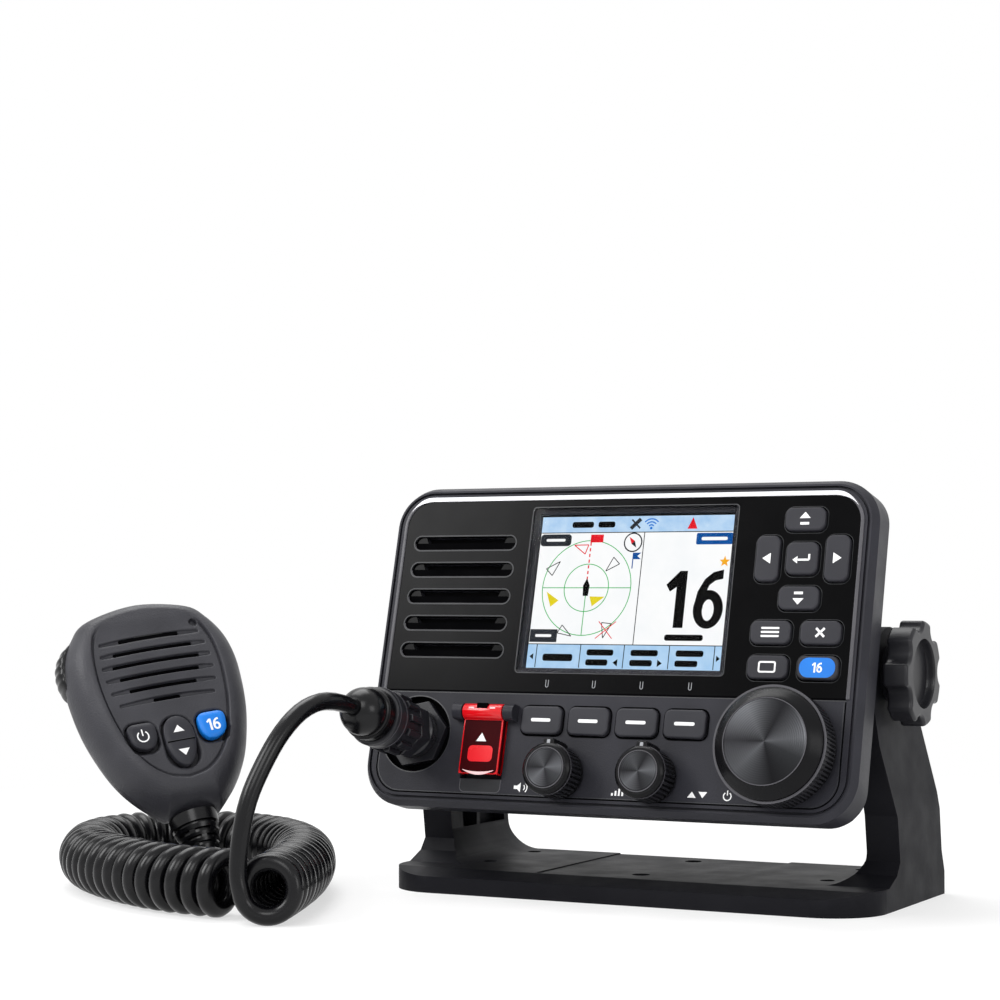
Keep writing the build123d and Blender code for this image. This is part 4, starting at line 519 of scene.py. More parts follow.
def moulded(name, dark, light, smooth, rough, grain, height, shine):
    """Moulded plastic or rubber with its grain."""
    made = new_material(name, rough, Specular_IOR_Level=shine)
    two_tones(made, dark, light, TONE_PATCH)
    worn(made, smooth, rough, WEAR_PATCH)
    bumped(made.node_tree, noise(made.node_tree, grain, 3.0), 1.0, height)
    return made


def metal(name, dark, light, rough):
    """Plain metal with faint marks."""
    made = new_material(name, rough, Metallic=1.0)
    two_tones(made, dark, light, METAL_PATCH)
    worn(made, rough - 0.05, rough + 0.08, METAL_WEAR)
    return made


def printed(name, dark, light):
    """Ink that lies on a surface."""
    made = new_material(name, 0.5, Specular_IOR_Level=0.3)
    two_tones(made, dark, light, INK_PATCH)
    worn(made, 0.42, 0.58, INK_WEAR)
    return made


def glowing(name, dark, light):
    """A lit colour of the screen."""
    made = new_material(name, 0.6, Specular_IOR_Level=0.0, Emission_Strength=1.0)
    made.node_tree.nodes[SHADER].inputs["Base Color"].default_value = tone("#000000")
    two_tones(made, dark, light, LIT_PATCH, "Emission Color")
    return made


def spun_metal_painted_reflection(name):
    """Metal turned on a lathe, with a painted reflection: its colour runs round in soft dark and light
    sectors that stand in for the spun metal's highlights.
    """
    made = new_material(name, 0.3, Metallic=1.0)
    tree = made.node_tree
    place = tree.nodes.new("ShaderNodeTexCoord")
    sectors = tree.nodes.new("ShaderNodeTexGradient")
    sectors.gradient_type = "RADIAL"
    tree.links.new(place.outputs["Object"], sectors.inputs["Vector"])
    ramp = tree.nodes.new("ShaderNodeValToRGB")
    stops = ramp.color_ramp.elements
    stops[0].color = tone(DISC_PAINTED_SHADE)
    stops[1].position = 0.13
    stops[1].color = tone(DISC_PAINTED_HIGHLIGHT)
    for at, code in DISC_PAINTED_REFLECTION_STOPS:
        stop = stops.new(at)
        stop.color = tone(code)
    tree.links.new(sectors.outputs["Fac"], ramp.inputs["Fac"])
    tree.links.new(ramp.outputs["Color"], tree.nodes[SHADER].inputs["Base Color"])
    rings = add_node(tree, "ShaderNodeTexWave", Scale=SPUN_RINGS, Distortion=0.6)
    rings.wave_type = "RINGS"
    rings.rings_direction = "Z"
    tree.links.new(place.outputs["Object"], rings.inputs["Vector"])
    bumped(tree, rings.outputs["Fac"], 0.5, SPUN_DEPTH)
    return made


def clear_glass(name):
    """The window's clear glass."""
    made = new_material(name, 0.03, Transmission_Weight=1.0, IOR=1.12)
    two_tones(made, "#f8fafc", "#ffffff", 0.02)
    return made


def mix_looks():
    """Every finish that a piece can wear, by name."""
    for maker, rows in ((moulded, MOULDED), (metal, METALS), (printed, INKS), (glowing, LIT)):
        for row in rows:
            LOOKS[row[0]] = maker(*row)
    LOOKS["disc"] = spun_metal_painted_reflection("disc")
    LOOKS["window_glass"] = clear_glass("window_glass")


# --- outlines ---


def shifted(outline, du, dv):
    """The outline moved across and up."""
    return [(u + du, v + dv) for u, v in outline]


def oval(ru, rv, at=(0, 0), steps=48):
    """An ellipse about a point."""
    return [(at[0] + ru * cos(TURN * i / steps), at[1] + rv * sin(TURN * i / steps)) for i in range(steps)]


def circle(r, at=(0, 0), steps=ROUND_STEPS):
    """A circle about a point."""
    return oval(r, r, at, steps)


def rounded(w, h, r, at=(0, 0), steps=6):
    """A rectangle with round corners."""
    points = []
    for corner, (su, sv) in enumerate(((1, 1), (-1, 1), (-1, -1), (1, -1))):
        for i in range(steps + 1):
            angle = (corner + i / steps) * pi / 2
            u = at[0] + su * (w / 2 - r) + r * cos(angle)
            points.append((u, at[1] + sv * (h / 2 - r) + r * sin(angle)))
    return points


def block(left, low, right, high):
    """A square-cornered rectangle between its edges."""
    return [(left, low), (right, low), (right, high), (left, high)]


def arrow(at, half, reach, turn):
    """A triangle whose tip points the way that the turn says."""
    tips = [(reach / 2, 0), (-reach / 2, half), (-reach / 2, -half)]
    return [(at[0] + u * cos(turn) - v * sin(turn), at[1] + u * sin(turn) + v * cos(turn)) for u, v in tips]


def arc(r, start, stop, at=(0, 0), steps=12):
    """Points along a part of a circle."""
    angles = [start + (stop - start) * i / steps for i in range(steps + 1)]
    return [(at[0] + r * cos(angle), at[1] + r * sin(angle)) for angle in angles]


def band(points, width):
    """A line of a given width along open points."""
    left = []
    right = []
    for i, (u, v) in enumerate(points):
        before = points[max(i - 1, 0)]
        after = points[min(i + 1, len(points) - 1)]
        run = hypot(after[0] - before[0], after[1] - before[1])
        side_u = -(after[1] - before[1]) / run * width / 2
        side_v = (after[0] - before[0]) / run * width / 2
        left.append((u + side_u, v + side_v))
        right.append((u - side_u, v - side_v))
    return right + left[::-1]


def edge_lines(points, width):
    """The sides of a closed shape as lines of a given width."""
    return [band([a, b], width) for a, b in zip(points, points[1:] + points[:1])]


def star(at, r):
    """A five-pointed star."""
    points = []
    for i in range(10):
        reach = r if i % 2 == 0 else r * 0.42
        angle = pi / 2 + TURN * i / 10
        points.append((at[0] + reach * cos(angle), at[1] + reach * sin(angle)))
    return points


# --- mesh helpers ---


def object_from(name, mesh):
    """A scene object that holds a finished mesh."""
    made = bpy.data.objects.new(name, mesh)
    bpy.context.scene.collection.objects.link(made)
    return made


def dress(piece, finish):
    """The piece wears one material."""
    piece.data.materials.clear()
    piece.data.materials.append(LOOKS[finish])


def fit(piece, ride, finish):
    """The piece rides on a body and wears a finish."""
    body, slot = ride
    dress(piece, finish)
    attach(piece, body)
    return piece


def from_bmesh(name, shape, place=None):
    """An object from a worked shape, whose normals point outwards."""
    bmesh.ops.recalc_face_normals(shape, faces=shape.faces)
    mesh = bpy.data.meshes.new(name)
    shape.to_mesh(mesh)
    shape.free()
    piece = object_from(name, mesh)
    if place:
        piece.matrix_world = place
    return piece


def round_edges(piece, width, segments=2):
    """The piece's sharp edges get a small radius."""
    edge = piece.modifiers.new("edge", "BEVEL")
    edge.width = width
    edge.segments = segments
    edge.limit_method = "ANGLE"
    edge.angle_limit = EDGE_ANGLE
    edge.harden_normals = True


def smooth(piece, angle=35):
    """The piece is shaded smooth where it bends gently."""
    piece.data.shade_smooth()
    piece.data.set_sharp_from_angle(angle=radians(angle))


def corners(shape, outline, w):
    """The outline's points at one height."""
    return [shape.verts.new((u, v, w)) for u, v in outline]


def wall(shape, below, above):
    """Faces between two closed rows of as many points."""
    for i in range(len(below)):
        j = (i + 1) % len(below)
        shape.faces.new((below[i], below[j], above[j], above[i]))


def slabs(name, place, outlines, low, high):
    """Flat pieces, one over each outline, between two heights."""
    shape = bmesh.new()
    for outline in outlines:
        below = corners(shape, outline, low)
        above = corners(shape, outline, high)
        shape.faces.new(below[::-1])
        shape.faces.new(above)
        wall(shape, below, above)
    return from_bmesh(name, shape, place)


def hoop(name, place, outer, inner, low, high):
    """A flat frame between two outlines of as many points."""
    shape = bmesh.new()
    loops = [corners(shape, side, w) for side in (outer, inner) for w in (low, high)]
    for near, far in ((0, 1), (1, 3), (3, 2), (2, 0)):
        wall(shape, loops[near], loops[far])
    return from_bmesh(name, shape, place)


def turned(name, place, profile, steps=ROUND_STEPS, ribs=0):
    """A shape turned about the w axis; its marked rows are cut in and out by the ribs round it."""
    shape = bmesh.new()
    rows = []
    for r, w, *cut in profile:
        if r == 0:
            rows.append([shape.verts.new((0, 0, w))])
            continue
        row = []
        for i in range(steps):
            dip = RIB_DIP if cut and (i * ribs * 2 // steps) % 2 else 0.0
            angle = TURN * i / steps
            row.append(shape.verts.new(((r - dip) * cos(angle), (r - dip) * sin(angle), w)))
        rows.append(row)
    for below, above in zip(rows, rows[1:]):
        for i in range(steps):
            face = [below[i % len(below)], below[(i + 1) % steps % len(below)]]
            face += [above[(i + 1) % steps % len(above)], above[i % len(above)]]
            shape.faces.new(list(dict.fromkeys(face)))
    return from_bmesh(name, shape, place)


def on_face(name, outlines, low, high, ride, finish):
    """Flat pieces over the set's face."""
    return fit(slabs(name, FACE.matrix(), outlines, low, high), ride, finish)


def frame_on_face(name, outer, inner, low, high, ride, finish):
    """A flat frame over the set's face."""
    return fit(hoop(name, FACE.matrix(), outer, inner, low, high), ride, finish)


def on_mic(name, outlines, low, high, ride, finish):
    """Flat pieces over the microphone's front."""
    return fit(slabs(name, MIC.matrix(), outlines, low, high), ride, finish)


# --- the screen ---


def lit(name, finish, layer, outlines):
    """Lit shapes of one colour on the screen."""
    low = SCREEN_DEPTH + SCREEN_LAYER * layer
    on_face(name, outlines, low, low + SCREEN_LAYER, ON_SCREEN, finish)


def lit_frame(name, finish, layer, outer, inner):
    """A lit frame on the screen."""
    low = SCREEN_DEPTH + SCREEN_LAYER * layer
    frame_on_face(name, outer, inner, low, low + SCREEN_LAYER, ON_SCREEN, finish)


def screen_ground():
    """The lit white ground with its header, footer and their lines."""
    footer_top = SCREEN_LOW + FOOTER_H
    header_foot = SCREEN_HIGH - HEADER_H
    lit("screen_ground", "lit_white", 1, [block(SCREEN_LEFT, SCREEN_LOW, SCREEN_RIGHT, SCREEN_HIGH)])
    lit("screen_header", "lit_header", 2, [block(SCREEN_LEFT, header_foot, SCREEN_RIGHT, SCREEN_HIGH)])
    lit("screen_footer", "lit_footer", 2, [block(SCREEN_LEFT, SCREEN_LOW, SCREEN_RIGHT, footer_top)])
    lines = [block(SCREEN_LEFT, header_foot - LINE_W, SCREEN_RIGHT, header_foot)]
    lines.append(block(SCREEN_LEFT, footer_top, SCREEN_RIGHT, footer_top + LINE_W))
    lines.append(block(DIVIDER_U, footer_top, DIVIDER_U + LINE_W, header_foot))
    for cell_u in FOOTER_LINES_U:
        lines.append(block(cell_u, SCREEN_LOW + 0.0006, cell_u + LINE_W, footer_top))
    lit("screen_lines", "lit_black", 3, lines)


def screen_bars():
    """Marks in the header and the footer's cells, where a menu's words would stand."""
    marks = [rounded(w, *SCREEN_BAR, (u, 0.0449)) for w, u in ((0.0085, -0.0178), (0.0066, -0.0084))]
    marks += [arrow((-0.0325, -0.0036), 0.0011, 0.0014, pi), arrow((0.0395, -0.0036), 0.0011, 0.0014, 0)]
    upper = SCREEN_LOW + 0.0062
    lower = SCREEN_LOW + 0.0026
    marks.append(rounded(0.0118, 0.0026, 0.0009, (FOOTER_CELLS_U[0], SCREEN_LOW + 0.0042)))
    for cell_u in FOOTER_CELLS_U[1:]:
        marks.append(rounded(0.0104, *SCREEN_BAR, (cell_u - 0.0006, upper)))
        marks.append(rounded(0.0086, *SCREEN_BAR, (cell_u - 0.0016, lower)))
    for cell_u, turn in zip(FOOTER_CELLS_U[1:3], (pi, 0)):
        marks.append(arrow((cell_u + 0.0056, lower), 0.0013, 0.0018, turn))
    lit("screen_bars", "lit_black", 3, marks)


def screen_icons():
    """The header's small signs: waves, a beacon and a link."""
    waves = [band(arc(r, radians(40), radians(140), WAVES_AT), 0.00045) for r in (0.0012, 0.0023, 0.0034)]
    waves.append(circle(0.0005, WAVES_AT, 16))
    lit("screen_waves", "lit_blue", 3, waves)
    lit("screen_beacon", "lit_red", 3, [arrow((0.025, 0.0451), 0.0019, 0.0042, pi / 2)])
    link = band([(0.0012, 0.0433), (0.0048, 0.0468)], 0.0014)
    cross = band([(0.0014, 0.0466), (0.0048, 0.0434)], 0.0006)
    lit("screen_link", "lit_grey", 3, [link, cross])


def screen_radar():
    """Range rings, the bearing lines and the own boat at their centre."""
    u, v = RADAR_AT
    half = LINE_W / 2
    for number, r in enumerate((RADAR_R, RADAR_R / 2)):
        outer, inner = (circle(reach, RADAR_AT, 64) for reach in (r + half, r - half))
        lit_frame(f"screen_ring_{number}", "lit_green", 3, outer, inner)
    lines = [block(u - RADAR_R, v - half, u + RADAR_R, v + half), block(u - half, v - RADAR_R, u + half, v)]
    lit("screen_bearing_lines", "lit_green", 2, lines)
    dashes = []
    for i in range(9):
        dash_v = v + 0.0008 + i * 0.0021
        dashes.append(block(u - 0.00025, dash_v, u + 0.00025, dash_v + 0.0012))
    dashes.append(block(u - 0.0003, v + 0.0167, u + 0.0047, v + 0.0196))
    lit("screen_heading", "lit_red", 4, dashes)
    boat = [(-0.001, -0.003), (0.001, -0.003), (0.0013, 0.0008), (0, 0.0035), (-0.0013, 0.0008)]
    lit("screen_boat", "lit_black", 5, [shifted(boat, u, v)])


def screen_targets():
    """Other boats as triangles: four outlined, one in red, two filled, and a cross over one."""
    outlined = [
        [(-0.0252, 0.0313), (-0.0305, 0.0286), (-0.0279, 0.0261)],
        [(-0.0042, 0.0328), (-0.0017, 0.0303), (-0.0068, 0.0277)],
        [(-0.0216, 0.0079), (-0.0233, 0.005), (-0.0177, 0.0039)],
        [(-0.0062, 0.0089), (-0.0023, 0.0085), (-0.0052, 0.0033)],
    ]
    sides = [side for target in outlined for side in edge_lines(target, LINE_W)]
    lit("screen_targets", "lit_black", 5, sides)
    marked = edge_lines([(-0.0202, 0.0373), (-0.0146, 0.0374), (-0.0157, 0.034)], LINE_W * 1.2)
    marked.append(band([(-0.0081, 0.0031), (-0.0006, 0.0093)], LINE_W))
    marked.append(band([(-0.0073, 0.0093), (-0.0016, 0.0031)], LINE_W))
    lit("screen_alarm_target", "lit_red", 6, marked)
    filled = [[(-0.0293, 0.0201), (-0.0242, 0.0169), (-0.0272, 0.0146)]]
    filled.append([(-0.0121, 0.0184), (-0.0062, 0.0183), (-0.0108, 0.0148)])
    lit("screen_sleeping_targets", "lit_yellow", 5, filled)


def screen_labels():
    """Rounded labels, the compass, the flag and the star of the right half."""
    dark = [rounded(0.0123, 0.0044, 0.0013, (-0.0279, 0.0392)), block(-0.034, 0.0016, -0.0232, 0.0063)]
    lit("screen_labels", "lit_grey", 6, dark)
    marks = [rounded(0.0076, 0.001, 0.0004, (-0.0279, 0.0392))]
    marks.append(rounded(0.0064, 0.001, 0.0004, (-0.0286, 0.00395)))
    marks.append(rounded(0.0098, 0.0012, 0.0005, (0.0339, 0.0393)))
    lit("screen_label_marks", "lit_white", 8, marks)
    lit("screen_state", "lit_navy", 6, [rounded(0.0138, 0.0042, 0.0006, (0.0339, 0.0393))])
    lit("screen_compass_edge", "lit_grey", 5, [circle(0.0036, COMPASS_AT, 48)])
    lit("screen_compass", "lit_white", 6, [circle(0.0031, COMPASS_AT, 48)])
    lit("screen_compass_north", "lit_red", 8, [[(0.0012, 0.0402), (0.0034, 0.0387), (0.0022, 0.0376)]])
    lit("screen_compass_south", "lit_grey", 8, [[(0.0042, 0.0362), (0.0034, 0.0387), (0.0022, 0.0376)]])
    flag = [[(0.0034, 0.0344), (0.0064, 0.0344), (0.0049, 0.0332), (0.0064, 0.032), (0.0034, 0.032)]]
    flag.append(block(0.0031, 0.0286, 0.0035, 0.0344))
    lit("screen_flag", "lit_navy", 5, flag)
    lit("screen_star", "lit_star", 5, [star((0.0385, 0.031), 0.0021)])


def screen_channel():
    """The channel number, a tall 1 and a 6 of a bowl and an arm, with the mark below it."""
    one = [(0.0213, 0.0072), (0.025, 0.0072), (0.025, 0.0277), (0.0222, 0.0277)]
    one += [(0.0173, 0.0227), (0.0189, 0.0202), (0.0213, 0.0219)]
    lit("screen_one", "lit_black", 4, [one])
    bowl = oval(0.0056, 0.0069, (0.0339, 0.0139))
    lit_frame("screen_six_bowl", "lit_black", 4, bowl, oval(0.0022, 0.0038, (0.0339, 0.0136)))
    arm = [(0.0283, 0.0139), (0.0318, 0.0139), (0.0322, 0.0188), (0.0337, 0.0226), (0.0358, 0.0242)]
    arm += [(0.0386, 0.0248), (0.0386, 0.0281), (0.0348, 0.0272), (0.0318, 0.0247), (0.0294, 0.0202)]
    lit("screen_six_arm", "lit_black", 5, [arm])
    lit("screen_channel_mark", "lit_black", 4, [rounded(0.0146, 0.0022, 0.0009, (0.0258, 0.0037))])


def window_border():
    """The thin bright edge of the window where its glass meets the fascia."""
    outer = rounded(WINDOW_W + WINDOW_RIM, WINDOW_H + WINDOW_RIM, WINDOW_R, WINDOW_AT)
    inner = rounded(WINDOW_W, WINDOW_H, WINDOW_R, WINDOW_AT)
    frame_on_face("window_edge", outer, inner, -0.0002, INK_T, ON_CASE, "edge_grey")


def screen():
    """Everything that the display shows, and the window's edge."""
    screen_ground()
    screen_bars()
    screen_icons()
    screen_radar()
    screen_targets()
    screen_labels()
    screen_channel()
    window_border()


# --- prints on keys and fascia ---


def key_print(key, outlines, name=None, finish="ink_white", slot="key_rubber"):
    """Ink on a key's top."""
    ride = (f"body_{key}", slot)
    on_face(f"print_{name or key[4:]}", outlines, KEY_STAND, KEY_STAND + INK_T, ride, finish)


def cross_prints():
    """The cross of keys: an arrow on each arm and a return mark in the middle."""
    for name, way in (("up", 1), ("down", -1)):
        v = CROSS_V + way * CROSS_V_STEP
        near, far = sorted((v - way * 0.0021, v - way * 0.0012))
        bar = block(COLUMN_U - 0.0016, near, COLUMN_U + 0.0016, far)
        tip = arrow((COLUMN_U, v + way * 0.0013), 0.002, 0.0022, way * pi / 2)
        key_print(f"key_channel_{name}", [tip, bar])
    left_u = COLUMN_U - CROSS_U_STEP - 0.0002
    right_u = COLUMN_U + CROSS_U_STEP + 0.0002
    key_print("key_left", [arrow((left_u, CROSS_V), 0.0019, 0.003, pi)])
    key_print("key_right", [arrow((right_u, CROSS_V), 0.0019, 0.003, 0)])
    hook = shifted([(0.0027, 0.0014), (0.0027, -0.0006), (-0.0014, -0.0006)], COLUMN_U, CROSS_V)
    tip = arrow((COLUMN_U - 0.0024, CROSS_V - 0.0006), 0.0013, 0.0018, pi)
    key_print("key_enter", [band(hook[:2], 0.0007), band(hook[1:], 0.0007), tip])


def pair_prints():
    """The two lower pairs: a menu's bars, a cross, a screen's outline and a 16."""
    left_u = COLUMN_U - PAIR_U_STEP
    right_u = COLUMN_U + PAIR_U_STEP
    bars = [rounded(0.0066, 0.0007, 0.0003, (left_u, MENU_V + step)) for step in (-0.0014, 0, 0.0014)]
    key_print("key_menu", bars)
    strokes = [[(-0.0015, -0.0015), (0.0015, 0.0015)], [(-0.0015, 0.0015), (0.0015, -0.0015)]]
    key_print("key_clear", [band(shifted(stroke, right_u, MENU_V), 0.0008) for stroke in strokes])
    outer = rounded(0.0064, 0.004, 0.0008, (left_u, DISPLAY_KEY_V))
    inner = rounded(0.0052, 0.0028, 0.0004, (left_u, DISPLAY_KEY_V))
    ride = ("body_key_display", "key_rubber")
    frame_on_face("print_display", outer, inner, KEY_STAND, KEY_STAND + INK_T, ride, "ink_white")
    field = rounded(0.0128, 0.0068, 0.0032, (right_u, DISPLAY_KEY_V))
    key_print("key_16", [field], "16_field", "key_blue")
    number = small_number("print_16", 0.0034, FACE.matrix(right_u, DISPLAY_KEY_V, KEY_STAND + INK_T))
    fit(number, ("body_key_16", "key_rubber"), "ink_white")


def small_number(name, height, place):
    """The number 16 as thin ink, centred on its place."""
    digits = [block(-0.34, -0.5, -0.16, 0.5), [(-0.34, 0.5), (-0.56, 0.28), (-0.48, 0.16), (-0.34, 0.28)]]
    digits.append(band([(0.02, -0.2), (0.03, 0.05), (0.12, 0.27), (0.28, 0.4), (0.46, 0.43)], 0.17))
    bowl = (oval(0.3, 0.33, (0.24, -0.17), 32), oval(0.12, 0.16, (0.24, -0.18), 32))
    shape = bmesh.new()
    for outline in digits:
        shape.faces.new(corners(shape, [(u * height, v * height) for u, v in outline], INK_T))
    rims = [corners(shape, [(u * height, v * height) for u, v in rim], INK_T) for rim in bowl]
    wall(shape, *rims)
    piece = from_bmesh(name, shape, place)
    piece.modifiers.new("ink", "SOLIDIFY").thickness = INK_T
    return piece


def soft_key_u(number):
    """How far across a soft key stands, counted from 1."""
    return SOFT_U + (number - 1 - (SOFT_COUNT - 1) / 2) * SOFT_PITCH


def soft_key_prints():
    """A white dash on each soft key and a small tick above it."""
    ticks = []
    for number in range(1, SOFT_COUNT + 1):
        u = soft_key_u(number)
        key_print(f"soft_key_{number}", [rounded(*SOFT_DASH, 0.00055, (u, SOFT_V))], f"soft_{number}")
        foot = arc(0.0005, pi, TURN, (u, SOFT_TICK_V - 0.0008), 8)
        cup = [(u - 0.0005, SOFT_TICK_V + 0.0013)] + foot + [(u + 0.0005, SOFT_TICK_V + 0.0013)]
        ticks.append(band(cup, 0.00022))
    on_face("fascia_ticks", ticks, 0, INK_T, ON_FASCIA, "ink_grey")


def power_mark(at, r, line, stem):
    """A ring open at its top, with a stem in the gap."""
    u, v = at
    low, high, half = stem
    return [band(arc(r, POWER_FROM, POWER_TO, at), line), block(u - half, v + low, u + half, v + high)]


def panel_prints():
    """Small signs beside the knobs: sound waves, a noise gate, a selector and a power mark."""
    v = SIGN_V
    horn = [(-0.0316, -0.0006), (-0.0303, -0.0006), (-0.029, -0.0017), (-0.029, 0.0017)]
    horn += [(-0.0303, 0.0006), (-0.0316, 0.0006)]
    signs = [shifted(horn, 0, v)]
    signs += [band(arc(r, radians(-45), radians(45), (-0.0286, v)), 0.0004) for r in (0.0012, 0.0022)]
    for i, height in enumerate((0.0009, 0.0017, 0.0025, 0.0033)):
        left = 0.0062 + 0.0013 * i
        signs.append(block(left, v - 0.0015, left + 0.0007, v - 0.0015 + height))
    signs += [arrow((0.0362, v), 0.0016, 0.0021, pi / 2), arrow((0.0402, v), 0.0016, 0.0021, -pi / 2)]
    signs += power_mark((0.0492, v - 0.0001), 0.0014, 0.0004, (0.0003, 0.002, 0.0002))
    on_face("panel_signs", signs, 0.0, INK_T, ON_CASE, "ink_white")


# --- trim and openings ---


def upper_arcs(start, stop):
    """The fascia's two upper corners, from an angle on the right to one on the left."""
    path = arc(TRIM_R, start, pi / 2, (TRIM_HALF_W - TRIM_R, TRIM_TOP - TRIM_R))
    return path + arc(TRIM_R, pi / 2, stop, (TRIM_R - TRIM_HALF_W, TRIM_TOP - TRIM_R))


def fascia_trim():
    """The satin line in the groove round the glossy fascia, open at its foot."""
    path = [(TRIM_HALF_W, FASCIA_FOOT_V)] + upper_arcs(0, pi) + [(-TRIM_HALF_W, FASCIA_FOOT_V)]
    trim_and_painted_highlight = on_face("fascia_trim", [band(path, TRIM_W)], DEEP_GROOVE_W, TRIM_RISE, ON_CASE, "trim_and_painted_highlight")
    round_edges(trim_and_painted_highlight, 0.0004, 3)


def fascia_painted_highlight():
    """A painted highlight on the chamfer over the fascia's upper edge, which thins out round its corners."""
    path = upper_arcs(radians(35), radians(145))
    half = TRIM_HALF_W - TRIM_R
    outer = []
    inner = []
    for number, (u, v) in enumerate(path):
        share = min(number, len(path) - 1 - number) / 12
        reach = 0.0007 * soft_step(share * 1.3) + 0.00005
        middle = Vector((max(min(u, half), -half), TRIM_TOP - TRIM_R))
        out = (Vector((u, v)) - middle).normalized()
        outer.append((u + out.x * reach, v + out.y * reach))
        inner.append((u - out.x * reach, v - out.y * reach))
    on_face("fascia_painted_highlight", [outer + inner[::-1]], 0.0, TRIM_RISE + 0.0001, ON_CASE, "bright")


def soft_key_gaps():
    """Painted shade in the gap round each soft key."""
    for number in range(1, SOFT_COUNT + 1):
        at = (soft_key_u(number), SOFT_V)
        w, h = (size + 2 * KEY_GAP for size in SOFT_KEY)
        r = SOFT_KEY_R + KEY_GAP
        outer = rounded(w + 0.0004, h + 0.0004, r + 0.0002, at, 8)
        inner = rounded(w - 0.0004, h - 0.0004, r - 0.0002, at, 8)
        frame_on_face(f"soft_key_gap_{number}", outer, inner, -0.0012, INK_T, ON_CASE, "recess_painted_shade")


def key_rings():
    """A fine light ring round each upper key's opening."""
    spots = [(COLUMN_U, CROSS_V + CROSS_V_STEP, WIDE_KEY), (COLUMN_U, CROSS_V - CROSS_V_STEP, WIDE_KEY)]
    spots += [(COLUMN_U + side * CROSS_U_STEP, CROSS_V, TALL_KEY) for side in (-1, 1)]
    spots.append((COLUMN_U, CROSS_V, MIDDLE_KEY))
    pairs = [COLUMN_U - PAIR_U_STEP, COLUMN_U + PAIR_U_STEP]
    spots += [(u, v, WIDE_KEY) for u in pairs for v in (MENU_V, DISPLAY_KEY_V)]
    for number, (u, v, (w, h)) in enumerate(spots):
        outer = rounded(w + 0.0014, h + 0.0014, 0.0033, (u, v), 8)
        inner = rounded(w + 0.001, h + 0.001, 0.0031, (u, v), 8)
        frame_on_face(f"key_ring_{number + 1}", outer, inner, GROOVE_W, 0.00008, ON_FASCIA, "ring_grey")


def fascia_foot():
    """The gap under the fascia's straight foot in painted shade, and the panel's light edge below it."""
    half = TRIM_HALF_W - 0.0004
    edge_v = FASCIA_FOOT_V - 0.0001
    gap = block(-half, edge_v, half, FASCIA_FOOT_V + 0.0006)
    on_face("fascia_gap", [gap], DEEP_GROOVE_W, 0.00003, ON_FASCIA, "recess_painted_shade")
    edge = block(-half, FASCIA_FOOT_V - 0.0004, half, edge_v)
    on_face("panel_edge", [edge], DEEP_GROOVE_W, 0.00006, ON_CASE, "edge_grey")


def panel_lines():
    """The stepped line that runs round the lower panel's foot: a band of painted shade with a fine edge
    beside it.
    """
    half_w = TRIM_HALF_W - 0.0006
    foot = FASCIA_MARGIN - 0.0004 - PANEL_H / 2
    r = TRIM_R - 0.0006
    path = [(-half_w, FASCIA_FOOT_V - 0.0006)]
    path += arc(r, pi, pi * 1.5, (r - half_w, foot + r))
    path += arc(r, pi * 1.5, TURN, (half_w - r, foot + r))
    path.append((half_w, FASCIA_FOOT_V - 0.0006))
    on_face("panel_line", [band(path, 0.0005)], GROOVE_W, INK_T, ON_CASE, "recess_painted_shade")
    inner = [(u * 0.9935, v + 0.00045) for u, v in path]
    inner[0] = (inner[0][0], path[0][1])
    inner[-1] = (inner[-1][0], path[-1][1])
    on_face("panel_line_edge", [band(inner, 0.00025)], GROOVE_W, INK_T * 2, ON_CASE, "edge_grey")


def slot_lips():
    """A fine bright lip round each speaker slot, painted shade in its mouth and a painted highlight along its
    foot.
    """
    for number in range(1, SLOT_COUNT + 1):
        v = SLOT_V + ((SLOT_COUNT + 1) / 2 - number) * SLOT_PITCH
        at = (SLOT_U, v)
        outer = rounded(SLOT_W + SLOT_LIP, SLOT_H + SLOT_LIP, (SLOT_H + SLOT_LIP) / 2, at, 10)
        inner = rounded(SLOT_W - SLOT_LIP, SLOT_H - SLOT_LIP, (SLOT_H - SLOT_LIP) / 2, at, 10)
        frame_on_face(f"slot_lip_{number}", outer, inner, GROOVE_W, 0.00012, ON_FASCIA, "ring_grey")
        dark = rounded(SLOT_W - 0.0001, SLOT_H - 0.0001, SLOT_H / 2 - 0.0001, at, 10)
        dark = [(u, min(point_v, v + SLOT_MOUTH_FOOT)) for u, point_v in dark]
        on_face(f"slot_painted_shade_{number}", [dark], -0.00089, -0.0008, ON_FASCIA, "recess_painted_shade")
        low = rounded(SLOT_W - 0.0006, SLOT_H - 0.0004, SLOT_H / 2 - 0.0003, at, 10)
        low = [(u, point_v) for u, point_v in low if point_v < v]
        on_face(f"slot_painted_highlight_{number}", [band(low, 0.0003)], GROOVE_W, -0.00005, ON_FASCIA, "trim_and_painted_highlight")


# --- knobs ---


def knob_disc(name, at, r, top):
    """A spun metal disc with painted reflection sectors on a knob's face, in a thin rim whose light colour is
    a painted highlight.
    """
    place = FACE.matrix(*at, top)
    ride = (f"body_{name}_knob", "knob_plastic")
    disc = turned(f"{name}_disc", place, [(0, 0.00018), (r * 0.96, 0.00018), (r, 0.0)])
    smooth(disc, 20)
    fit(disc, ride, "disc")
    fit(hoop(f"{name}_disc_edge", place, circle(r + 0.0003), circle(r), 0, 0.0002), ride, "trim_and_painted_highlight")


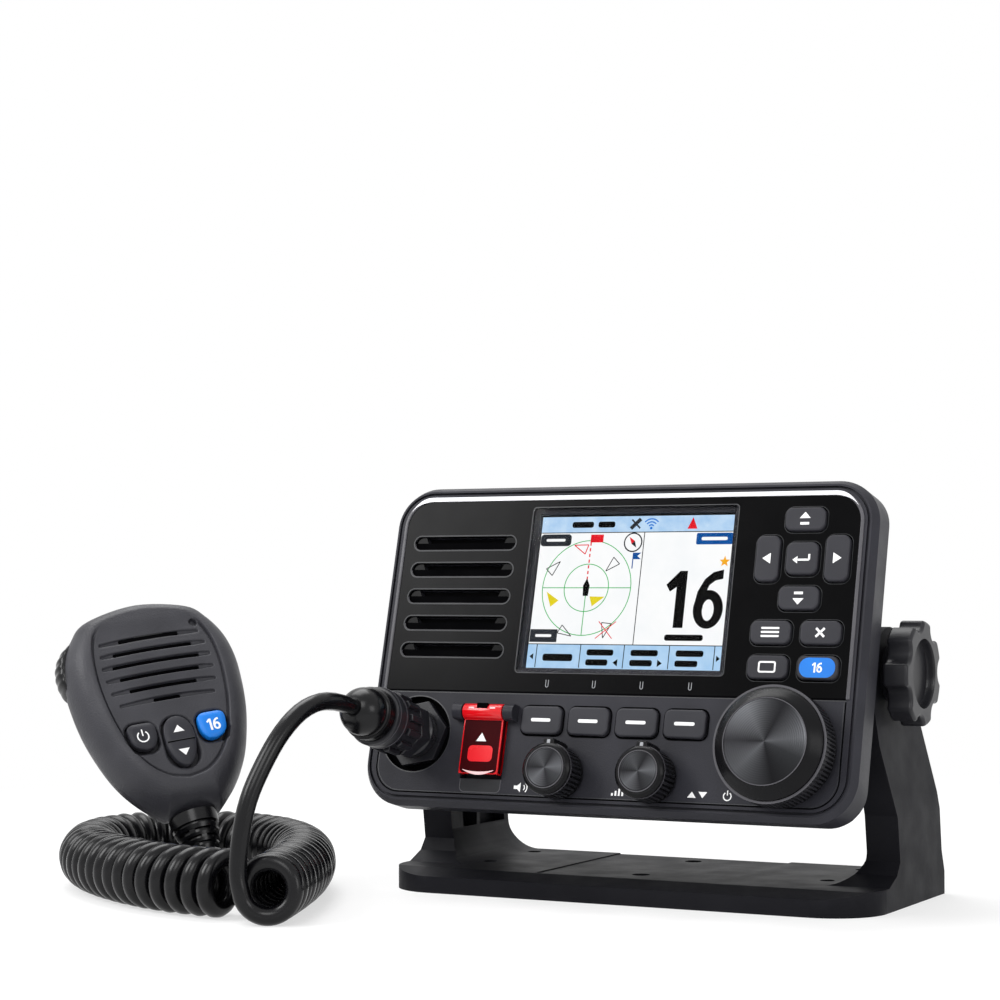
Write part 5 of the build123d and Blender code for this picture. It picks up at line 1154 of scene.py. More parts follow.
def knob_details():
    """Discs on the three knobs and the light notches of the small knobs' pointers."""
    for u, name in zip(SMALL_KNOB_U, ("volume", "squelch")):
        knob_disc(name, (u, SMALL_KNOB_V), SMALL_DISC_R, SMALL_KNOB_TOP)
        ride = (f"body_{name}_knob", "knob_plastic")
        lug = shifted(POINTER, u, SMALL_KNOB_V)
        pointer = on_face(f"{name}_pointer", [lug], 0.002, 0.0122, ride, "knob_plastic")
        round_edges(pointer, 0.0006, 3)
        notch = rounded(0.0012, 0.002, 0.0003, (u, SMALL_KNOB_V + 0.009))
        on_face(f"{name}_pointer_mark", [notch], 0.012, 0.01224, ride, "ink_grey")
    knob_disc("channel", BIG_KNOB_AT, BIG_DISC_R - 0.0006, BIG_KNOB_TOP)


def knob_grips():
    """The fine ribs round the three knobs' sides."""
    for u, name in zip(SMALL_KNOB_U, ("volume", "squelch")):
        knob_grip(name, (u, SMALL_KNOB_V), SMALL_KNOB_R, SMALL_GRIP_W)
    knob_grip("channel", BIG_KNOB_AT, BIG_KNOB_R, BIG_GRIP_W)


def knob_grip(name, at, r, rise):
    """A ribbed sleeve round a knob's side, with a thin lighter line before it, a painted highlight along its
    top edge.
    """
    low, high = rise
    ribs = GRIP_RIBS[name]
    ride = (f"body_{name}_knob", "knob_plastic")
    profile = [(r - 0.0008, low), (r + 0.0001, low, 1), (r + 0.0001, high, 1), (r - 0.0008, high)]
    fit(turned(f"{name}_grip", FACE.matrix(*at), profile, ribs * RIB_STEPS, ribs), ride, "clamp_plastic")
    outer = circle(r + 0.0002)
    fit(hoop(f"{name}_grip_line", FACE.matrix(*at, high), outer, circle(r - 0.0006), 0, 0.0003), ride, "trim_and_painted_highlight")


# --- distress switch ---


def distress_details():
    """The red cover's window darkened with painted shade, the button seen in it, a pale painted highlight
    along its foot, painted highlights on its barrel and its barrel's notch in painted shade.
    """
    top = COVER_TOP
    first = top + INK_T * 2
    second = top + INK_T * 4
    lens = rounded(0.0146, 0.0201, 0.0014, (DISTRESS_U, -0.0373))
    on_face("cover_window", [lens], top, first, ON_COVER, "painted_shade_red")
    button = rounded(0.0098, 0.0058, 0.0017, (DISTRESS_U + 0.0001, -0.0404))
    on_face("cover_window_button", [button], first, second, ON_COVER, "button_red")
    mark = arrow((DISTRESS_U, -0.0345), 0.002, 0.003, pi / 2)
    on_face("cover_mark", [mark], first, second, ON_COVER, "ink_white")
    upper = [(DISTRESS_U + 0.0062 * i / 8, -0.0462 - 0.0007 * (1 - (i / 8) ** 2)) for i in range(-8, 9)]
    lower = [(u, v - 0.0011 * (1 - ((u - DISTRESS_U) / 0.0066) ** 2)) for u, v in upper]
    on_face("cover_foot_painted_highlight", [lower + upper[::-1]], top, second, ON_COVER, "pink_painted_highlight")
    painted_highlights = [rounded(0.0022, 0.0005, 0.0002, (DISTRESS_U + side * 0.0042, -0.02445)) for side in (-1, 1)]
    on_face("barrel_painted_highlight", painted_highlights, 0.0051, 0.00532, ON_COVER, "pink_painted_highlight")
    cut = block(DISTRESS_U - 0.0021, -0.0248, DISTRESS_U + 0.0021, -0.0227)
    on_face("barrel_notch", [cut], 0.0025, 0.0053, ON_COVER, "recess_painted_shade")


def distress_pocket():
    """The rounded foot of the distress switch's pocket with a painted highlight along its lower edge, and the
    cover's side in painted shade.
    """
    left = DISTRESS_U - POCKET_HALF
    right = DISTRESS_U + POCKET_HALF
    path = [(left, POCKET_TOP_V)]
    path += arc(POCKET_R, pi, pi * 1.5, (left + POCKET_R, POCKET_FOOT_V + POCKET_R), 8)
    path += arc(POCKET_R, pi * 1.5, TURN, (right - POCKET_R, POCKET_FOOT_V + POCKET_R), 8)
    path.append((right, POCKET_TOP_V))
    on_face("distress_pocket_foot", [path], -0.0004, INK_T, ON_CASE, "ring_grey")
    on_face("distress_pocket_edge", [band(path, 0.0003)], -0.0004, INK_T * 2, ON_CASE, "trim_and_painted_highlight")
    skirt_u = DISTRESS_U + COVER_W / 2
    side = block(skirt_u - 0.0002, COVER_FOOT_V + 0.0004, skirt_u + 0.00003, HINGE_V - 0.002)
    on_face("cover_skirt_painted_shade", [side], 0.0002, COVER_TOP - 0.0006, ON_COVER, "painted_shade_red")


# --- the plug ---


def socket_recess():
    """The liner of painted shade in the round hollow that the microphone socket stands in, and the edge round
    its rim.
    """
    place = FACE.matrix(*JACK_AT)
    rim = circle(RECESS_R - 0.00005)
    liner = hoop("socket_recess_wall", place, rim, circle(RECESS_R - 0.0003), -RECESS_DEPTH, -0.0001)
    smooth(liner)
    fit(liner, ON_CASE, "recess_painted_shade")
    hole = circle(RECESS_HOLE_R)
    ground = hoop("socket_recess_ground", place, rim, hole, -RECESS_DEPTH, 0.0001 - RECESS_DEPTH)
    fit(ground, ON_CASE, "recess_painted_shade")
    edge = hoop("socket_recess_edge", place, circle(RECESS_R + 0.0003), rim, GROOVE_W, INK_T)
    fit(edge, ON_CASE, "edge_grey")


def coupling_ring():
    """The plug's turning ring: a hex foot, a waist and a smooth shoulder."""
    place = FACE.matrix(*JACK_AT)
    first = RING_HEX_TURN + pi / 6
    hexagon = arc(RING_HEX_AF / 2 / cos(pi / 6), first, first + TURN, steps=6)[:6]
    foot = slabs("coupling_foot", place, [hexagon], RING_HEX_FOOT, RING_FOOT)
    round_edges(foot, 0.0006, 3)
    fit(foot, ON_RING, "connector_plastic")
    profile = [(0.0, RING_FOOT), (RING_WAIST_R - 0.0006, RING_FOOT), (RING_WAIST_R, RING_FOOT + 0.0006)]
    top = RING_WAIST_TOP
    profile += [(RING_WAIST_R, top), (RING_NECK_R, top + 0.0003), (RING_NECK_R, top + 0.001)]
    profile += [(RING_R - 0.0003, top + 0.0011), (RING_R, top + 0.0015), (RING_R, RING_TOP - 0.0008)]
    profile += [(RING_R - 0.0003, RING_TOP - 0.0002), (RING_R - 0.0009, RING_TOP)]
    profile += [(0.0081, RING_TOP), (0.0, RING_TOP)]
    body = turned("coupling_ring", place, profile)
    smooth(body, 32)
    fit(body, ON_RING, "connector_plastic")
    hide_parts("plug_ring")


def coupling_lugs():
    """The lugs round the turning ring's waist."""
    foot_r, top_r = LUG_R
    foot_half, top_half = LUG_HALF
    lugs = []
    for i in range(COUPLING_LUGS):
        middle = TURN * (i + 0.3) / COUPLING_LUGS
        lug = arc(foot_r, middle - foot_half, middle + foot_half, steps=1)
        lugs.append(lug + arc(top_r, middle + top_half, middle - top_half, steps=1))
    grips = slabs("coupling_lugs", FACE.matrix(*JACK_AT), lugs, *LUG_W)
    round_edges(grips, 0.0005, 3)
    fit(grips, ON_RING, "connector_plastic")


def coupling_bands():
    """The two light bands round the turning ring's shoulder: slight ridges whose light colour is a painted
    highlight.
    """
    outer, inner = circle(RING_R + 0.00015), circle(RING_R - 0.0004)
    for number, w in enumerate(RING_BANDS_W, 1):
        line = hoop(f"coupling_band_{number}", FACE.matrix(*JACK_AT, w), outer, inner, 0, 0.00035)
        smooth(line, 40)
        fit(line, ON_RING, "trim_and_painted_highlight")


def plug_boot():
    """The plug's rubber boot: a collar of fine rings and a ball."""
    profile = [(0.0, BOOT_FOOT), (0.009, BOOT_FOOT)]
    for i in range(BOOT_RINGS):
        foot = BOOT_FOOT + 0.0002 + i * BOOT_RING_STEP
        profile += [(BOOT_COLLAR_R, foot), (BOOT_COLLAR_R, foot + 0.0005)]
        profile += [(BOOT_GROOVE_R, foot + 0.0006), (BOOT_GROOVE_R, foot + 0.0009)]
    profile += arc(BALL_R, radians(-12), radians(66), (0, BALL_W), 24)
    profile += [(0.0034, BOOT_TOP), (0.0, BOOT_TOP)]
    boot = turned("plug_ball_boot", FACE.matrix(*JACK_AT), profile)
    smooth(boot, 32)
    fit(boot, ("set", "soft_rubber"), "soft_rubber")
    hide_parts("plug_boot")


# --- the microphone ---


def outline_reach(outline, angle):
    """How far the rounded outline reaches from the shell's middle at an angle."""
    along = Vector((cos(angle), sin(angle)))
    best = 0.0
    for (u1, v1), (u2, v2) in zip(outline, outline[1:] + outline[:1]):
        run_u, run_v = u2 - u1, v2 - v1
        cross = along.x * run_v - along.y * run_u
        if abs(cross) < 1e-12:
            continue
        far = (u1 * run_v - v1 * run_u) / cross
        share = (u1 * along.y - v1 * along.x) / cross
        if far > 0 and -1e-9 <= share <= 1 + 1e-9:
            best = max(best, far)
    return best


def soft_step(x):
    """0 below 0, 1 above 1 and a smooth rise between."""
    x = min(max(x, 0.0), 1.0)
    return x * x * (3 - 2 * x)


def slot_dip(u, v):
    """How far the front sinks at a speaker slot: a shallow trough that tapers, with a deep mouth."""
    dip = 0.0
    trough_depth, trough_half, trough_fade = SLOT_TROUGH
    deep_depth, deep_half, deep_fade = SLOT_DEEP
    for slot_v, half, mouth in MIC_SLOTS:
        if abs(v - slot_v) > SLOT_SEEN:
            continue
        over = abs(v - slot_line(slot_v, half, u))
        taper = 1 - 0.55 * soft_step((abs(u) - mouth) / max(half - mouth, 0.001))
        past = max(abs(u) - half + 0.0009, 0.0)
        trough = trough_depth * (1 - soft_step((hypot(over, past) - trough_half * taper) / trough_fade))
        past_mouth = max(abs(u) - mouth + 0.0007, 0.0)
        deep = deep_depth * (1 - soft_step((hypot(over, past_mouth) - deep_half) / deep_fade))
        dip = max(dip, trough, deep)
    return dip


def slot_line(slot_v, half, u):
    """The height of a speaker slot's gently arched middle line."""
    return slot_v - 0.0003 + 0.0007 * max(1 - (u / half) ** 2, 0)


def rounded_gap(u, v, at, half_u, half_v, r):
    """The distance outside a round-cornered rectangle; negative inside."""
    du = abs(u - at[0]) - half_u + r
    dv = abs(v - at[1]) - half_v + r
    return hypot(max(du, 0), max(dv, 0)) + min(max(du, dv), 0) - r


def key_dip(u, v):
    """The deep seats under the three controls, each in a shallow dished edge."""
    key_gap = rounded_gap(abs(u), v, MIC_KEY_AT, *KEY_SEAT)
    past = min(key_gap, rounded_gap(u, v, (0, ROCKER_V), *ROCKER_SEAT)) - 0.0003
    if past < 0:
        return MIC_SEAT_DEPTH
    return 0.0005 * (1 - soft_step(past / 0.0009))


def hole_dip(u, v):
    """The pit of the small sound hole."""
    away = hypot(u - MIC_HOLE_AT[0], v - MIC_HOLE_AT[1])
    return MIC_HOLE_DEPTH * (1 - soft_step((away - MIC_HOLE_R) / 0.0003))


def brow(v):
    """How far the front falls back towards the microphone's top."""
    return MIC_BROW * soft_step((v - MIC_BROW_FROM) / MIC_BROW_RUN)


def face_share(v):
    """1 over most of the face, and none at the microphone's top, where the face runs out."""
    start, stop = MIC_FACE_ENDS
    return 1 - soft_step((v - start) / (stop - start))


def face_level(v):
    """The raised face's height so far up the microphone."""
    return MIC_FRONT_W - brow(v) - MIC_FACE_STEP * face_share(v)


def edge_out(share):
    """0 at the face's outline and 1 at the shell's."""
    return (share - MIC_FACE_SHARE) / (1 - MIC_FACE_SHARE)


def front_height(share, angle, u, v):
    """The front's height over the parting line at a point of the shell."""
    if share > MIC_FACE_SHARE:
        sharp, round_power = MIC_BULGE
        return (MIC_FRONT_W - brow(v)) * max(1 - edge_out(share) ** sharp, 0.0) ** round_power
    inside = (MIC_FACE_SHARE - share) / MIC_FACE_SHARE
    step = MIC_FACE_STEP * face_share(v) * soft_step(inside / 0.035)
    side = 1 - soft_step((sin(angle) - 0.74) / 0.12)
    groove = MIC_FACE_GROOVE * side * exp(-(((inside - 0.028) / 0.014) ** 2))
    return MIC_FRONT_W - brow(v) - step - groove - max(slot_dip(u, v), key_dip(u, v), hole_dip(u, v))


def front_point(share, angle, shell_reach, face_reach):
    """A point of the front, between the raised face's own egg and the shell's outline."""
    if share <= MIC_FACE_SHARE:
        reach = face_reach * share / MIC_FACE_SHARE
    else:
        reach = face_reach + (shell_reach - face_reach) * edge_out(share)
    return reach * cos(angle), MIC_SCALE_V + reach * sin(angle)


def mirrored_round(half, steps=6):
    """A closed outline about the shell's middle height, from its right half, through smooth curves."""
    right = [(u, v - MIC_SCALE_V) for u, v in half]
    points = right + [(-u, v) for u, v in right[-2::-1]]
    rounder = []
    last = len(points) - 1
    for i in range(last):
        near = (points[max(i - 1, 0)], points[i], points[i + 1], points[min(i + 2, last)])
        for step in range(steps):
            t = step / steps
            weights = (-t + 2 * t**2 - t**3, 2 - 5 * t**2 + 3 * t**3, t + 4 * t**2 - 3 * t**3, t**3 - t**2)
            u = sum(weight * p[0] for weight, p in zip(weights, near)) / 2
            v = sum(weight * p[1] for weight, p in zip(weights, near)) / 2
            rounder.append((u, v))
    return rounder + [points[-1]]


def front_shares():
    """The rows of the front from its middle out, closest where its shape turns."""
    shares = [MIC_FACE_SHARE * i / MIC_FACE_ROWS for i in range(1, MIC_FACE_ROWS + 1)]
    bends = [sin(pi / 2 * i / MIC_EDGE_ROWS) for i in range(1, MIC_EDGE_ROWS + 1)]
    return shares + [MIC_FACE_SHARE + (1 - MIC_FACE_SHARE) * bend for bend in bends]


def mic_front():
    """The front shell: a rounded body whose raised face holds the slots and the controls' seats."""
    shell = mirrored_round(MIC_OUTLINE)
    face = mirrored_round(MIC_FACE_OUTLINE)
    angles = [TURN * i / MIC_SPOKES for i in range(MIC_SPOKES)]
    reaches = [(angle, outline_reach(shell, angle), outline_reach(face, angle)) for angle in angles]
    shape = bmesh.new()
    centre = shape.verts.new((0, MIC_SCALE_V, front_height(0, 0, 0, MIC_SCALE_V)))
    rings = []
    for share in front_shares():
        ring = []
        for angle, shell_reach, face_reach in reaches:
            u, v = front_point(share, angle, shell_reach, face_reach)
            ring.append(shape.verts.new((u, v, front_height(share, angle, u, v))))
        rings.append(ring)
    for i in range(MIC_SPOKES):
        shape.faces.new((centre, rings[0][i], rings[0][(i + 1) % MIC_SPOKES]))
    for inner, outer in zip(rings, rings[1:]):
        for i in range(MIC_SPOKES):
            j = (i + 1) % MIC_SPOKES
            shape.faces.new((inner[i], outer[i], outer[j], inner[j]))
    piece = from_bmesh("mic_front", shape, MIC.matrix())
    inward = piece.modifiers.new("wall", "SOLIDIFY")
    inward.thickness = MIC_WALL
    inward.offset = -1
    smooth(piece, 60)
    fit(piece, ("mount", "case_plastic"), "mic_plastic")
    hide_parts("mic_front_shell")


def mic_mouths():
    """Painted shade in the speaker slots' mouths, which follows the face and hides the speaker's front."""
    mouths = []
    for slot_v, half, mouth in MIC_SLOTS:
        across = [(mouth - 0.0002) * (i / 6 - 1) for i in range(13)]
        path = [(u, slot_line(slot_v, half, u)) for u in across]
        mouths += [band([a, b], 0.0013) for a, b in zip(path, path[1:])]
    piece = slabs("mic_slot_mouths", MIC.matrix(), mouths, *MIC_MOUTH_W)
    for point in piece.data.vertices:
        on_top = point.co.z > sum(MIC_MOUTH_W) / 2
        point.co.z += face_level(point.co.y)
        if on_top:
            point.co.z = max(point.co.z, MIC_SPEAKER_W)
    fit(piece, ("mount", "cloth"), "recess_painted_shade")


def softened(points, radii, steps=8):
    """A closed shape with each corner rounded by its own radius."""
    outline = []
    for i, (corner, r) in enumerate(zip(points, radii)):
        at = Vector(corner)
        before = (Vector(points[i - 1]) - at).normalized()
        after = (Vector(points[(i + 1) % len(points)]) - at).normalized()
        for step in range(steps + 1):
            t = step / steps
            point = (at + before * r) * (1 - t) ** 2 + at * 2 * t * (1 - t) + (at + after * r) * t**2
            outline.append((point.x, point.y))
    return outline


def crowned(name, outline, middle):
    """A microphone control whose top is softly crowned and whose edge is round."""
    low = MIC_FRONT_W - 0.0024
    high = MIC_KEY_TOP - 0.0002
    crown = 0.0002
    shape = bmesh.new()
    rows = []
    steps = [(1.0, low), (1.0, high - 0.0008), (0.985, high - 0.0003)]
    steps += [(0.94, high), (0.6, high + crown * 0.7)]
    for share, w in steps:
        smaller = [tuple(m + (x - m) * share for x, m in zip(point, middle)) for point in outline]
        rows.append(corners(shape, smaller, w))
    for below, above in zip(rows, rows[1:]):
        wall(shape, below, above)
    tip = shape.verts.new((*middle, high + crown))
    for i in range(len(outline)):
        shape.faces.new((rows[-1][i], rows[-1][(i + 1) % len(outline)], tip))
    shape.faces.new(rows[0][::-1])
    piece = from_bmesh(name, shape, MIC.matrix())
    smooth(piece, 60)
    return piece


def rocker_outline():
    """The rocker's oval, fuller at its top and a little squared at its ends."""
    points = []
    for i in range(64):
        angle = TURN * i / 64
        rise = sin(angle)
        taper = 1 + 0.1 * sin(angle - 0.3) * (rise < 0)
        end = abs(rise) ** 0.86 * (1 if rise > 0 else -1)
        across = ROCKER_HALF[0] * cos(angle) * (1 + 0.12 * rise) * taper
        points.append((across, ROCKER_V + ROCKER_HALF[1] * end))
    return points


def mic_controls():
    """The two shield-shaped keys and the oval rocker between them."""
    for side, node, slot in ((-1, "mic_power_key", "key_rubber"), (1, "mic_key_16", "key_blue")):
        spot = (side * MIC_KEY_AT[0], MIC_KEY_AT[1])
        outline = softened([(-side * u, v) for u, v in MIC_KEY_CORNERS], MIC_KEY_RADII)
        key = crowned(f"mic_key_{slot}", shifted(outline, *spot), spot)
        fit(key, (f"body_{node}", slot), slot)
        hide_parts(node)
    rocker = crowned("mic_rocker", rocker_outline(), (0, ROCKER_V))
    fit(rocker, ON_ROCKER, "key_rubber")
    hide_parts("mic_channel_rocker")
    low = MIC_KEY_TOP - 0.0003
    # the rocker's split is a line of painted shade
    for name, v, width, rise, finish in (
        ("split", ROCKER_V, 0.0004, 0.00004, "recess_painted_shade"),
        ("glint", ROCKER_V + 0.00035, 0.0002, 0.00006, "edge_grey"),
    ):
        line = band([(-0.0052, v), (0.0052, v)], width)
        on_mic(f"mic_rocker_{name}", [line], low, MIC_KEY_TOP + rise, ON_ROCKER, finish)


def mic_prints():
    """Signs on the microphone's controls: a power mark, a 16 and two arrows."""
    top = MIC_KEY_TOP
    power = power_mark((-MIC_KEY_AT[0], MIC_KEY_AT[1]), 0.0021, 0.0005, MIC_SIGN_STEM)
    on_mic("mic_print_power", power, top, top + INK_T, ("body_mic_power_key", "key_rubber"), "ink_white")
    number = small_number("mic_print_16", 0.0046, MIC.matrix(*MIC_KEY_AT, top + INK_T))
    fit(number, ("body_mic_key_16", "key_blue"), "ink_white")
    arrows = [arrow((0, ROCKER_V + side * 0.0048), 0.0021, 0.0027, side * pi / 2) for side in (-1, 1)]
    on_mic("mic_print_arrows", arrows, top, top + INK_T, ON_ROCKER, "ink_white")


def talk_bar():
    """The push-to-talk bar: a soft ribbed pad that follows the shell's left side."""
    shell = [(u, v + MIC_SCALE_V) for u, v in mirrored_round(MIC_OUTLINE, 10)]
    line = evenly([Vector((u, v, PTT_W)) for u, v in shell if u < 0 and PTT_FROM < v < PTT_TO], PTT_ROWS)
    shape = bmesh.new()
    rows = []
    for i, (spot, run) in enumerate(line):
        share = i / (PTT_ROWS - 1)
        side = Vector((run.y, -run.x, 0)).normalized()
        if side.x > 0:
            side = -side
        swell = sin(pi * share) ** 0.5 if 0 < share < 1 else 0.0
        rib = 0.00035 * (0.5 + 0.5 * cos(TURN * PTT_RIBS * share)) * swell
        row = []
        for k in range(PTT_COLUMNS + 1):
            turn = pi * k / PTT_COLUMNS
            proud = (PTT_PROUD * swell + 0.0002 - rib) * sin(turn) ** 0.7
            point = spot + side * (proud - 0.0012 * (1 - swell) - 0.0006)
            row.append(shape.verts.new(point + Vector((0, 0, PTT_HALF * cos(turn)))))
        rows.append(row)
    for below, above in zip(rows, rows[1:]):
        wall(shape, below, above)
    shape.faces.new(rows[0])
    shape.faces.new(rows[-1][::-1])
    piece = from_bmesh("mic_talk_bar", shape, MIC.matrix())
    smooth(piece, 50)
    fit(piece, ("body_mic_ptt", "knob_plastic"), "soft_rubber")
    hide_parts("mic_ptt")


def relief_radius(w):
    """The strain relief's radius so far down from the shells."""
    foot, tip = MIC_BOOT_R
    return foot + (tip - foot) * max(w - MIC_BOOT_COLLAR, 0) / (MIC_BOOT_L - MIC_BOOT_COLLAR)


def strain_relief():
    """The rubber boot: a smooth collar, a ring groove, then rows of slots parted by webs."""
    foot, tip = MIC_BOOT_R
    profile = [(0.0, 0.0), (foot, 0.0), (foot, 0.0003)]
    for start, stop, dip in RELIEF_GROOVES:
        outer = relief_radius(start)
        profile += [(outer, start - 0.0002), (outer - dip, start), (outer - dip, stop)]
        profile.append((relief_radius(stop), stop + 0.0002))
    profile += [(tip, MIC_BOOT_L - 0.0004), (tip - 0.0005, MIC_BOOT_L), (0.0, MIC_BOOT_L)]
    down = Matrix((MIC.across, -MIC.out, -MIC.up)).transposed().to_4x4()
    place = Matrix.Translation(MIC.at(0, 0, 0)) @ down
    piece = turned("mic_strain_relief", place, profile)
    smooth(piece, 30)
    fit(piece, ON_BOOT, "soft_rubber")
    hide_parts("mic_boot")
    shape = bmesh.new()
    for number, (start, stop, dip) in enumerate(RELIEF_GROOVES[1:]):
        for i in range(RELIEF_WEBS):
            relief_web(shape, TURN * (i + 0.5 * (number % 2)) / RELIEF_WEBS, start, stop, dip)
    fit(from_bmesh("mic_strain_relief_webs", shape, place), ON_BOOT, "soft_rubber")


def relief_web(shape, middle, start, stop, dip):
    """One web that parts a row of slots."""
    points = []
    for angle in (middle - RELIEF_WEB_HALF, middle + RELIEF_WEB_HALF):
        for w in (start - 0.0001, stop + 0.0001):
            for r in (relief_radius(w) - dip - 0.0002, relief_radius(w) - 0.00002):
                points.append(shape.verts.new((r * cos(angle), r * sin(angle), w)))
    bmesh.ops.convex_hull(shape, input=points)


def microphone():
    """Everything that is drawn anew on the microphone."""
    mic_front()
    mic_mouths()
    mic_controls()
    talk_bar()
    mic_prints()
    strain_relief()


# --- cord ---


def nurbs(name, points):
    """A smooth open curve led by a route's points."""
    curve = bpy.data.curves.new(name, "CURVE")
    curve.dimensions = "3D"
    spline = curve.splines.new("NURBS")
    spline.points.add(len(points) - 1)
    for control, point in zip(spline.points, points):
        control.co = (*point, 1.0)
    spline.order_u = 3
    spline.use_endpoint_u = True
    return curve


def mesh_along(name, points, steps, radius=0.0):
    """The mesh of a route's smooth curve: its bare line, or a tube about it."""
    curve = nurbs(name, points)
    curve.splines[0].resolution_u = steps
    curve.bevel_depth = radius
    curve.bevel_resolution = 4
    curve.use_fill_caps = True
    guide = object_from(name, curve)
    bpy.context.view_layer.update()
    mesh = bpy.data.meshes.new_from_object(guide.evaluated_get(bpy.context.evaluated_depsgraph_get()))
    bpy.data.objects.remove(guide)
    return mesh


def points_along(name, points, steps=24):
    """The points of a route's smooth curve, from one end to the other."""
    mesh = mesh_along(name, points, steps)
    line = [vertex.co.copy() for vertex in mesh.vertices]
    bpy.data.meshes.remove(mesh)
    return line


def evenly(line, count):
    """Points at even distances along a line of points, with the line's direction at each."""
    lengths = [0.0]
    for before, after in zip(line, line[1:]):
        lengths.append(lengths[-1] + (after - before).length)
    spots = []
    piece = 0
    for i in range(count):
        far = lengths[-1] * i / (count - 1)
        while piece < len(line) - 2 and lengths[piece + 1] < far:
            piece += 1
        run = line[piece + 1] - line[piece]
        share = (far - lengths[piece]) / max(lengths[piece + 1] - lengths[piece], 1e-9)
        spots.append((line[piece] + run * share, run.normalized()))
    return spots


def coil_turns():
    """The curly cord's turns along its own route on the floor."""
    axis_r = (COIL_D - CORD_D) / 2
    reach = axis_r / cos(pi / COIL_TURN_POINTS)
    route = points_along("coil_route", [(x, y, COIL_D / 2) for x, y in COIL_POINTS])
    turns = []
    for i, (centre, along) in enumerate(evenly(route, COIL_TURNS * COIL_TURN_POINTS + 1)):
        side = Vector((along.y, -along.x, 0)).normalized()
        angle = TURN * i / COIL_TURN_POINTS
        turns.append(centre - side * reach * cos(angle) - Vector((0, 0, 1)) * reach * sin(angle))
    return turns


def make_cord():
    """The whole microphone cord: lead, curly stretch and tail, as one tube."""
    exit_at = FACE.at(*JACK_AT, BOOT_TOP)
    boot_end = MIC.at(0, -MIC_BOOT_L)
    boot_run = (boot_end.z - CORD_D / 2) / MIC.up.z
    points = [exit_at, exit_at + FACE.out * LEAD_STRAIGHT]
    points += [Vector(point) for point in LEAD_POINTS]
    points += coil_turns()
    points += [Vector(point) for point in TAIL_POINTS]
    points += [boot_end - MIC.up * boot_run + Vector((0, 0, TAIL_LIFT)), boot_end]
    line = points_along("cord_line", points, CORD_STEPS)
    piece = object_from("mic_cord", mesh_along("mic_cord", points, CORD_STEPS, CORD_D / 2))
    smooth(piece, 60)
    dress(piece, "soft_rubber")
    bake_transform(piece)
    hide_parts("cord_lead", "cord_coil", "cord_tail")


# --- the room ---


def camera():
    """The photograph's own viewpoint."""
    level = cos(CAMERA_ELEVATION)
    back = Vector((sin(CAMERA_AZIMUTH) * level, -cos(CAMERA_AZIMUTH) * level, sin(CAMERA_ELEVATION)))
    right = Vector((cos(CAMERA_AZIMUTH), sin(CAMERA_AZIMUTH), 0))
    up = back.cross(right)
    rolled_right = right * cos(CAMERA_ROLL) + up * sin(CAMERA_ROLL)
    rolled_up = up * cos(CAMERA_ROLL) - right * sin(CAMERA_ROLL)
    lens = bpy.data.cameras.new("camera")
    lens.lens = CAMERA_LENS
    lens.sensor_width = CAMERA_SENSOR
    made = object_from("camera", lens)
    aim = Matrix((rolled_right, rolled_up, back)).transposed().to_4x4()
    made.matrix_world = Matrix.Translation(CAMERA_AT) @ aim
    bpy.context.scene.camera = made


def of_two(tree, operation, first, second):
    """One operation on two values of a node tree."""
    node = tree.nodes.new("ShaderNodeMath")
    node.operation = operation
    tree.links.new(first, node.inputs[0])
    tree.links.new(second, node.inputs[1])
    return node.outputs[0]


def seen_directly(tree):
    """1 for rays that show the room: the camera's own, and those that gloss and glass pass on."""
    rays = tree.nodes.new("ShaderNodeLightPath").outputs
    seen = of_two(tree, "MAXIMUM", rays["Is Camera Ray"], rays["Is Glossy Ray"])
    return of_two(tree, "MAXIMUM", seen, rays["Is Transmission Ray"])


def mixed(tree, share, first, second, output):
    """Two shaders mixed by a share on their way to the output."""
    mix = tree.nodes.new("ShaderNodeMixShader")
    tree.links.new(share, mix.inputs["Fac"])
    tree.links.new(first.outputs[0], mix.inputs[1])
    tree.links.new(second.outputs[0], mix.inputs[2])
    tree.links.new(mix.outputs[0], tree.nodes[output].inputs["Surface"])


def world():
    """Soft even light, seen as white."""
    made = bpy.data.worlds.new("room")
    made.use_nodes = True
    tree = made.node_tree
    soft = tree.nodes["Background"]
    soft.inputs["Color"].default_value = tone("#ffffff")
    soft.inputs["Strength"].default_value = ROOM_STRENGTH
    white = add_node(tree, "ShaderNodeBackground", Strength=1.0)
    white.inputs["Color"].default_value = tone("#ffffff")
    mixed(tree, seen_directly(tree), soft, white, "World Output")
    bpy.context.scene.world = made


def lights():
    """Square soft boxes: from the upper left, the front, the right and over the back."""
    for name, at, towards, size, power in LAMPS:
        light = bpy.data.lights.new(name, "AREA")
        light.size = size
        light.energy = power
        made = object_from(name, light)
        aim = (Vector(towards) - Vector(at)).to_track_quat("-Z", "Y")
        made.matrix_world = Matrix.Translation(at) @ aim.to_matrix().to_4x4()


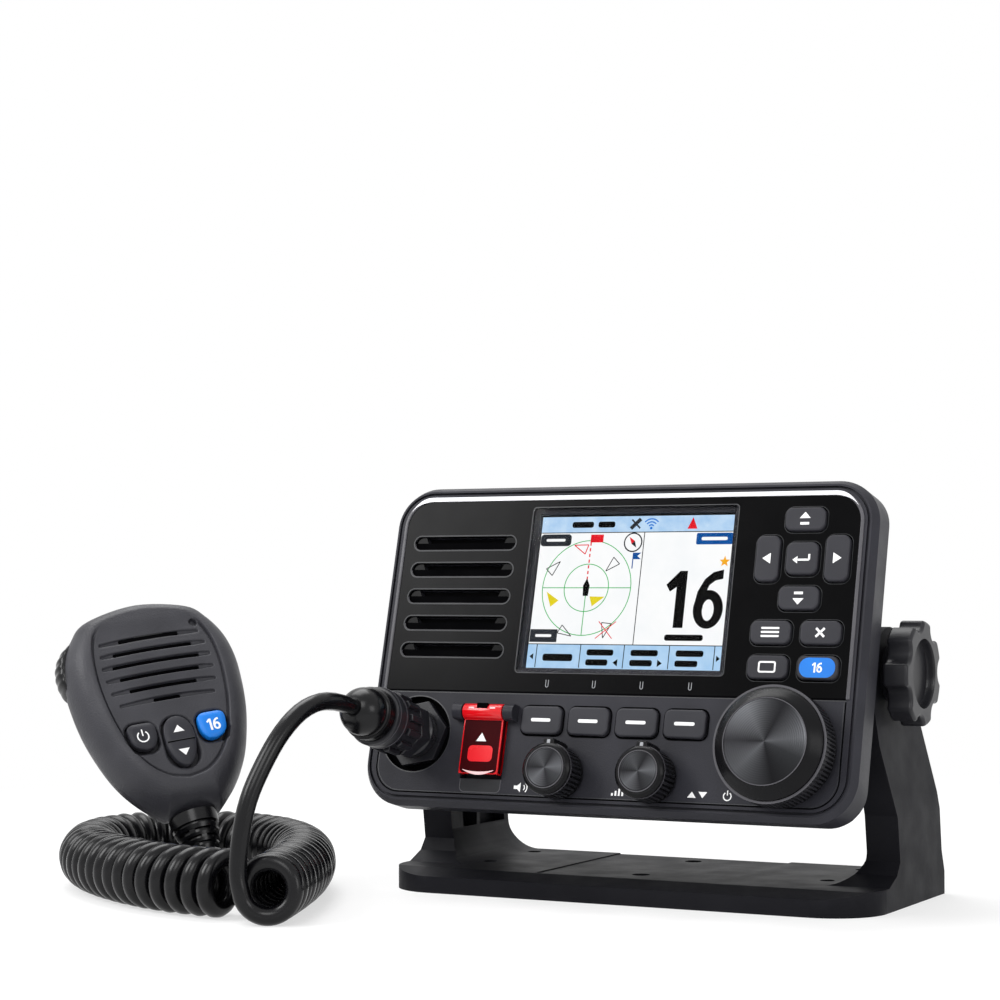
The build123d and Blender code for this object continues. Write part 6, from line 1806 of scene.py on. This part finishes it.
def floor_finish():
    """Pale paint that glows into the backdrop's white away from the object."""
    made = new_material("floor", 0.9, Specular_IOR_Level=0.0)
    two_tones(made, "#fafafa", "#ffffff", 0.4)
    tree = made.node_tree
    glow = add_node(tree, "ShaderNodeEmission", Strength=1.0)
    glow.inputs["Color"].default_value = tone("#ffffff")
    place = tree.nodes.new("ShaderNodeTexCoord")
    away = tree.nodes.new("ShaderNodeVectorMath")
    away.operation = "LENGTH"
    tree.links.new(place.outputs["Object"], away.inputs[0])
    limits = {"From Min": 0.25, "From Max": 0.55, "To Min": 0.6, "To Max": 1.0}
    fade = add_node(tree, "ShaderNodeMapRange", **limits)
    tree.links.new(away.outputs["Value"], fade.inputs["Value"])
    share = of_two(tree, "MULTIPLY", seen_directly(tree), fade.outputs["Result"])
    mixed(tree, share, tree.nodes[SHADER], glow, "Material Output")
    return made


def floor():
    """A pale floor that keeps the shadow near the object and fades into the backdrop."""
    mesh = bpy.data.meshes.new("floor")
    rim = block(-FLOOR_HALF, -FLOOR_HALF, FLOOR_HALF, FLOOR_HALF)
    mesh.from_pydata([(x, y, 0) for x, y in rim], [], [(0, 1, 2, 3)])
    piece = object_from("floor", mesh)
    LOOKS["floor"] = floor_finish()
    dress(piece, "floor")


# --- the CAD's own pieces ---

UNSOFTENED = ("fascia", "front_case", "display_window", "display_module")
OWN_FINISHES = {
    "mic_rear_shell": "mic_plastic",
    "side_knob_left": "clamp_plastic",
    "side_knob_right": "clamp_plastic",
}
WELD = 0.000005
MOULD_R = 0.00025


def soften_edges(node):
    """The CAD node's sharp edges get the small radius of a moulding."""
    node.modifiers.new("join", "WELD").merge_threshold = WELD
    round_edges(node, MOULD_R)


def dress_nodes(frame):
    """Every CAD node wears its slot's material, or a lighter plastic of its own, with softened edges."""
    slots = {entry["node"]: entry["material_slot"] for entry in frame["record"]["subparts"]}
    for name, node in frame["nodes"].items():
        dress(node, OWN_FINISHES.get(name, slots[name]))
        if name not in UNSOFTENED:
            soften_edges(node)


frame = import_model()
mix_looks()
dress_nodes(frame)
camera()
world()
lights()
floor()
screen()
cross_prints()
pair_prints()
soft_key_prints()
panel_prints()
fascia_trim()
fascia_painted_highlight()
slot_lips()
soft_key_gaps()
key_rings()
fascia_foot()
panel_lines()
knob_details()
knob_grips()
distress_details()
distress_pocket()
socket_recess()
coupling_ring()
coupling_lugs()
coupling_bands()
plug_boot()
microphone()
make_cord()
bpy.context.scene.view_settings.view_transform = "Standard"
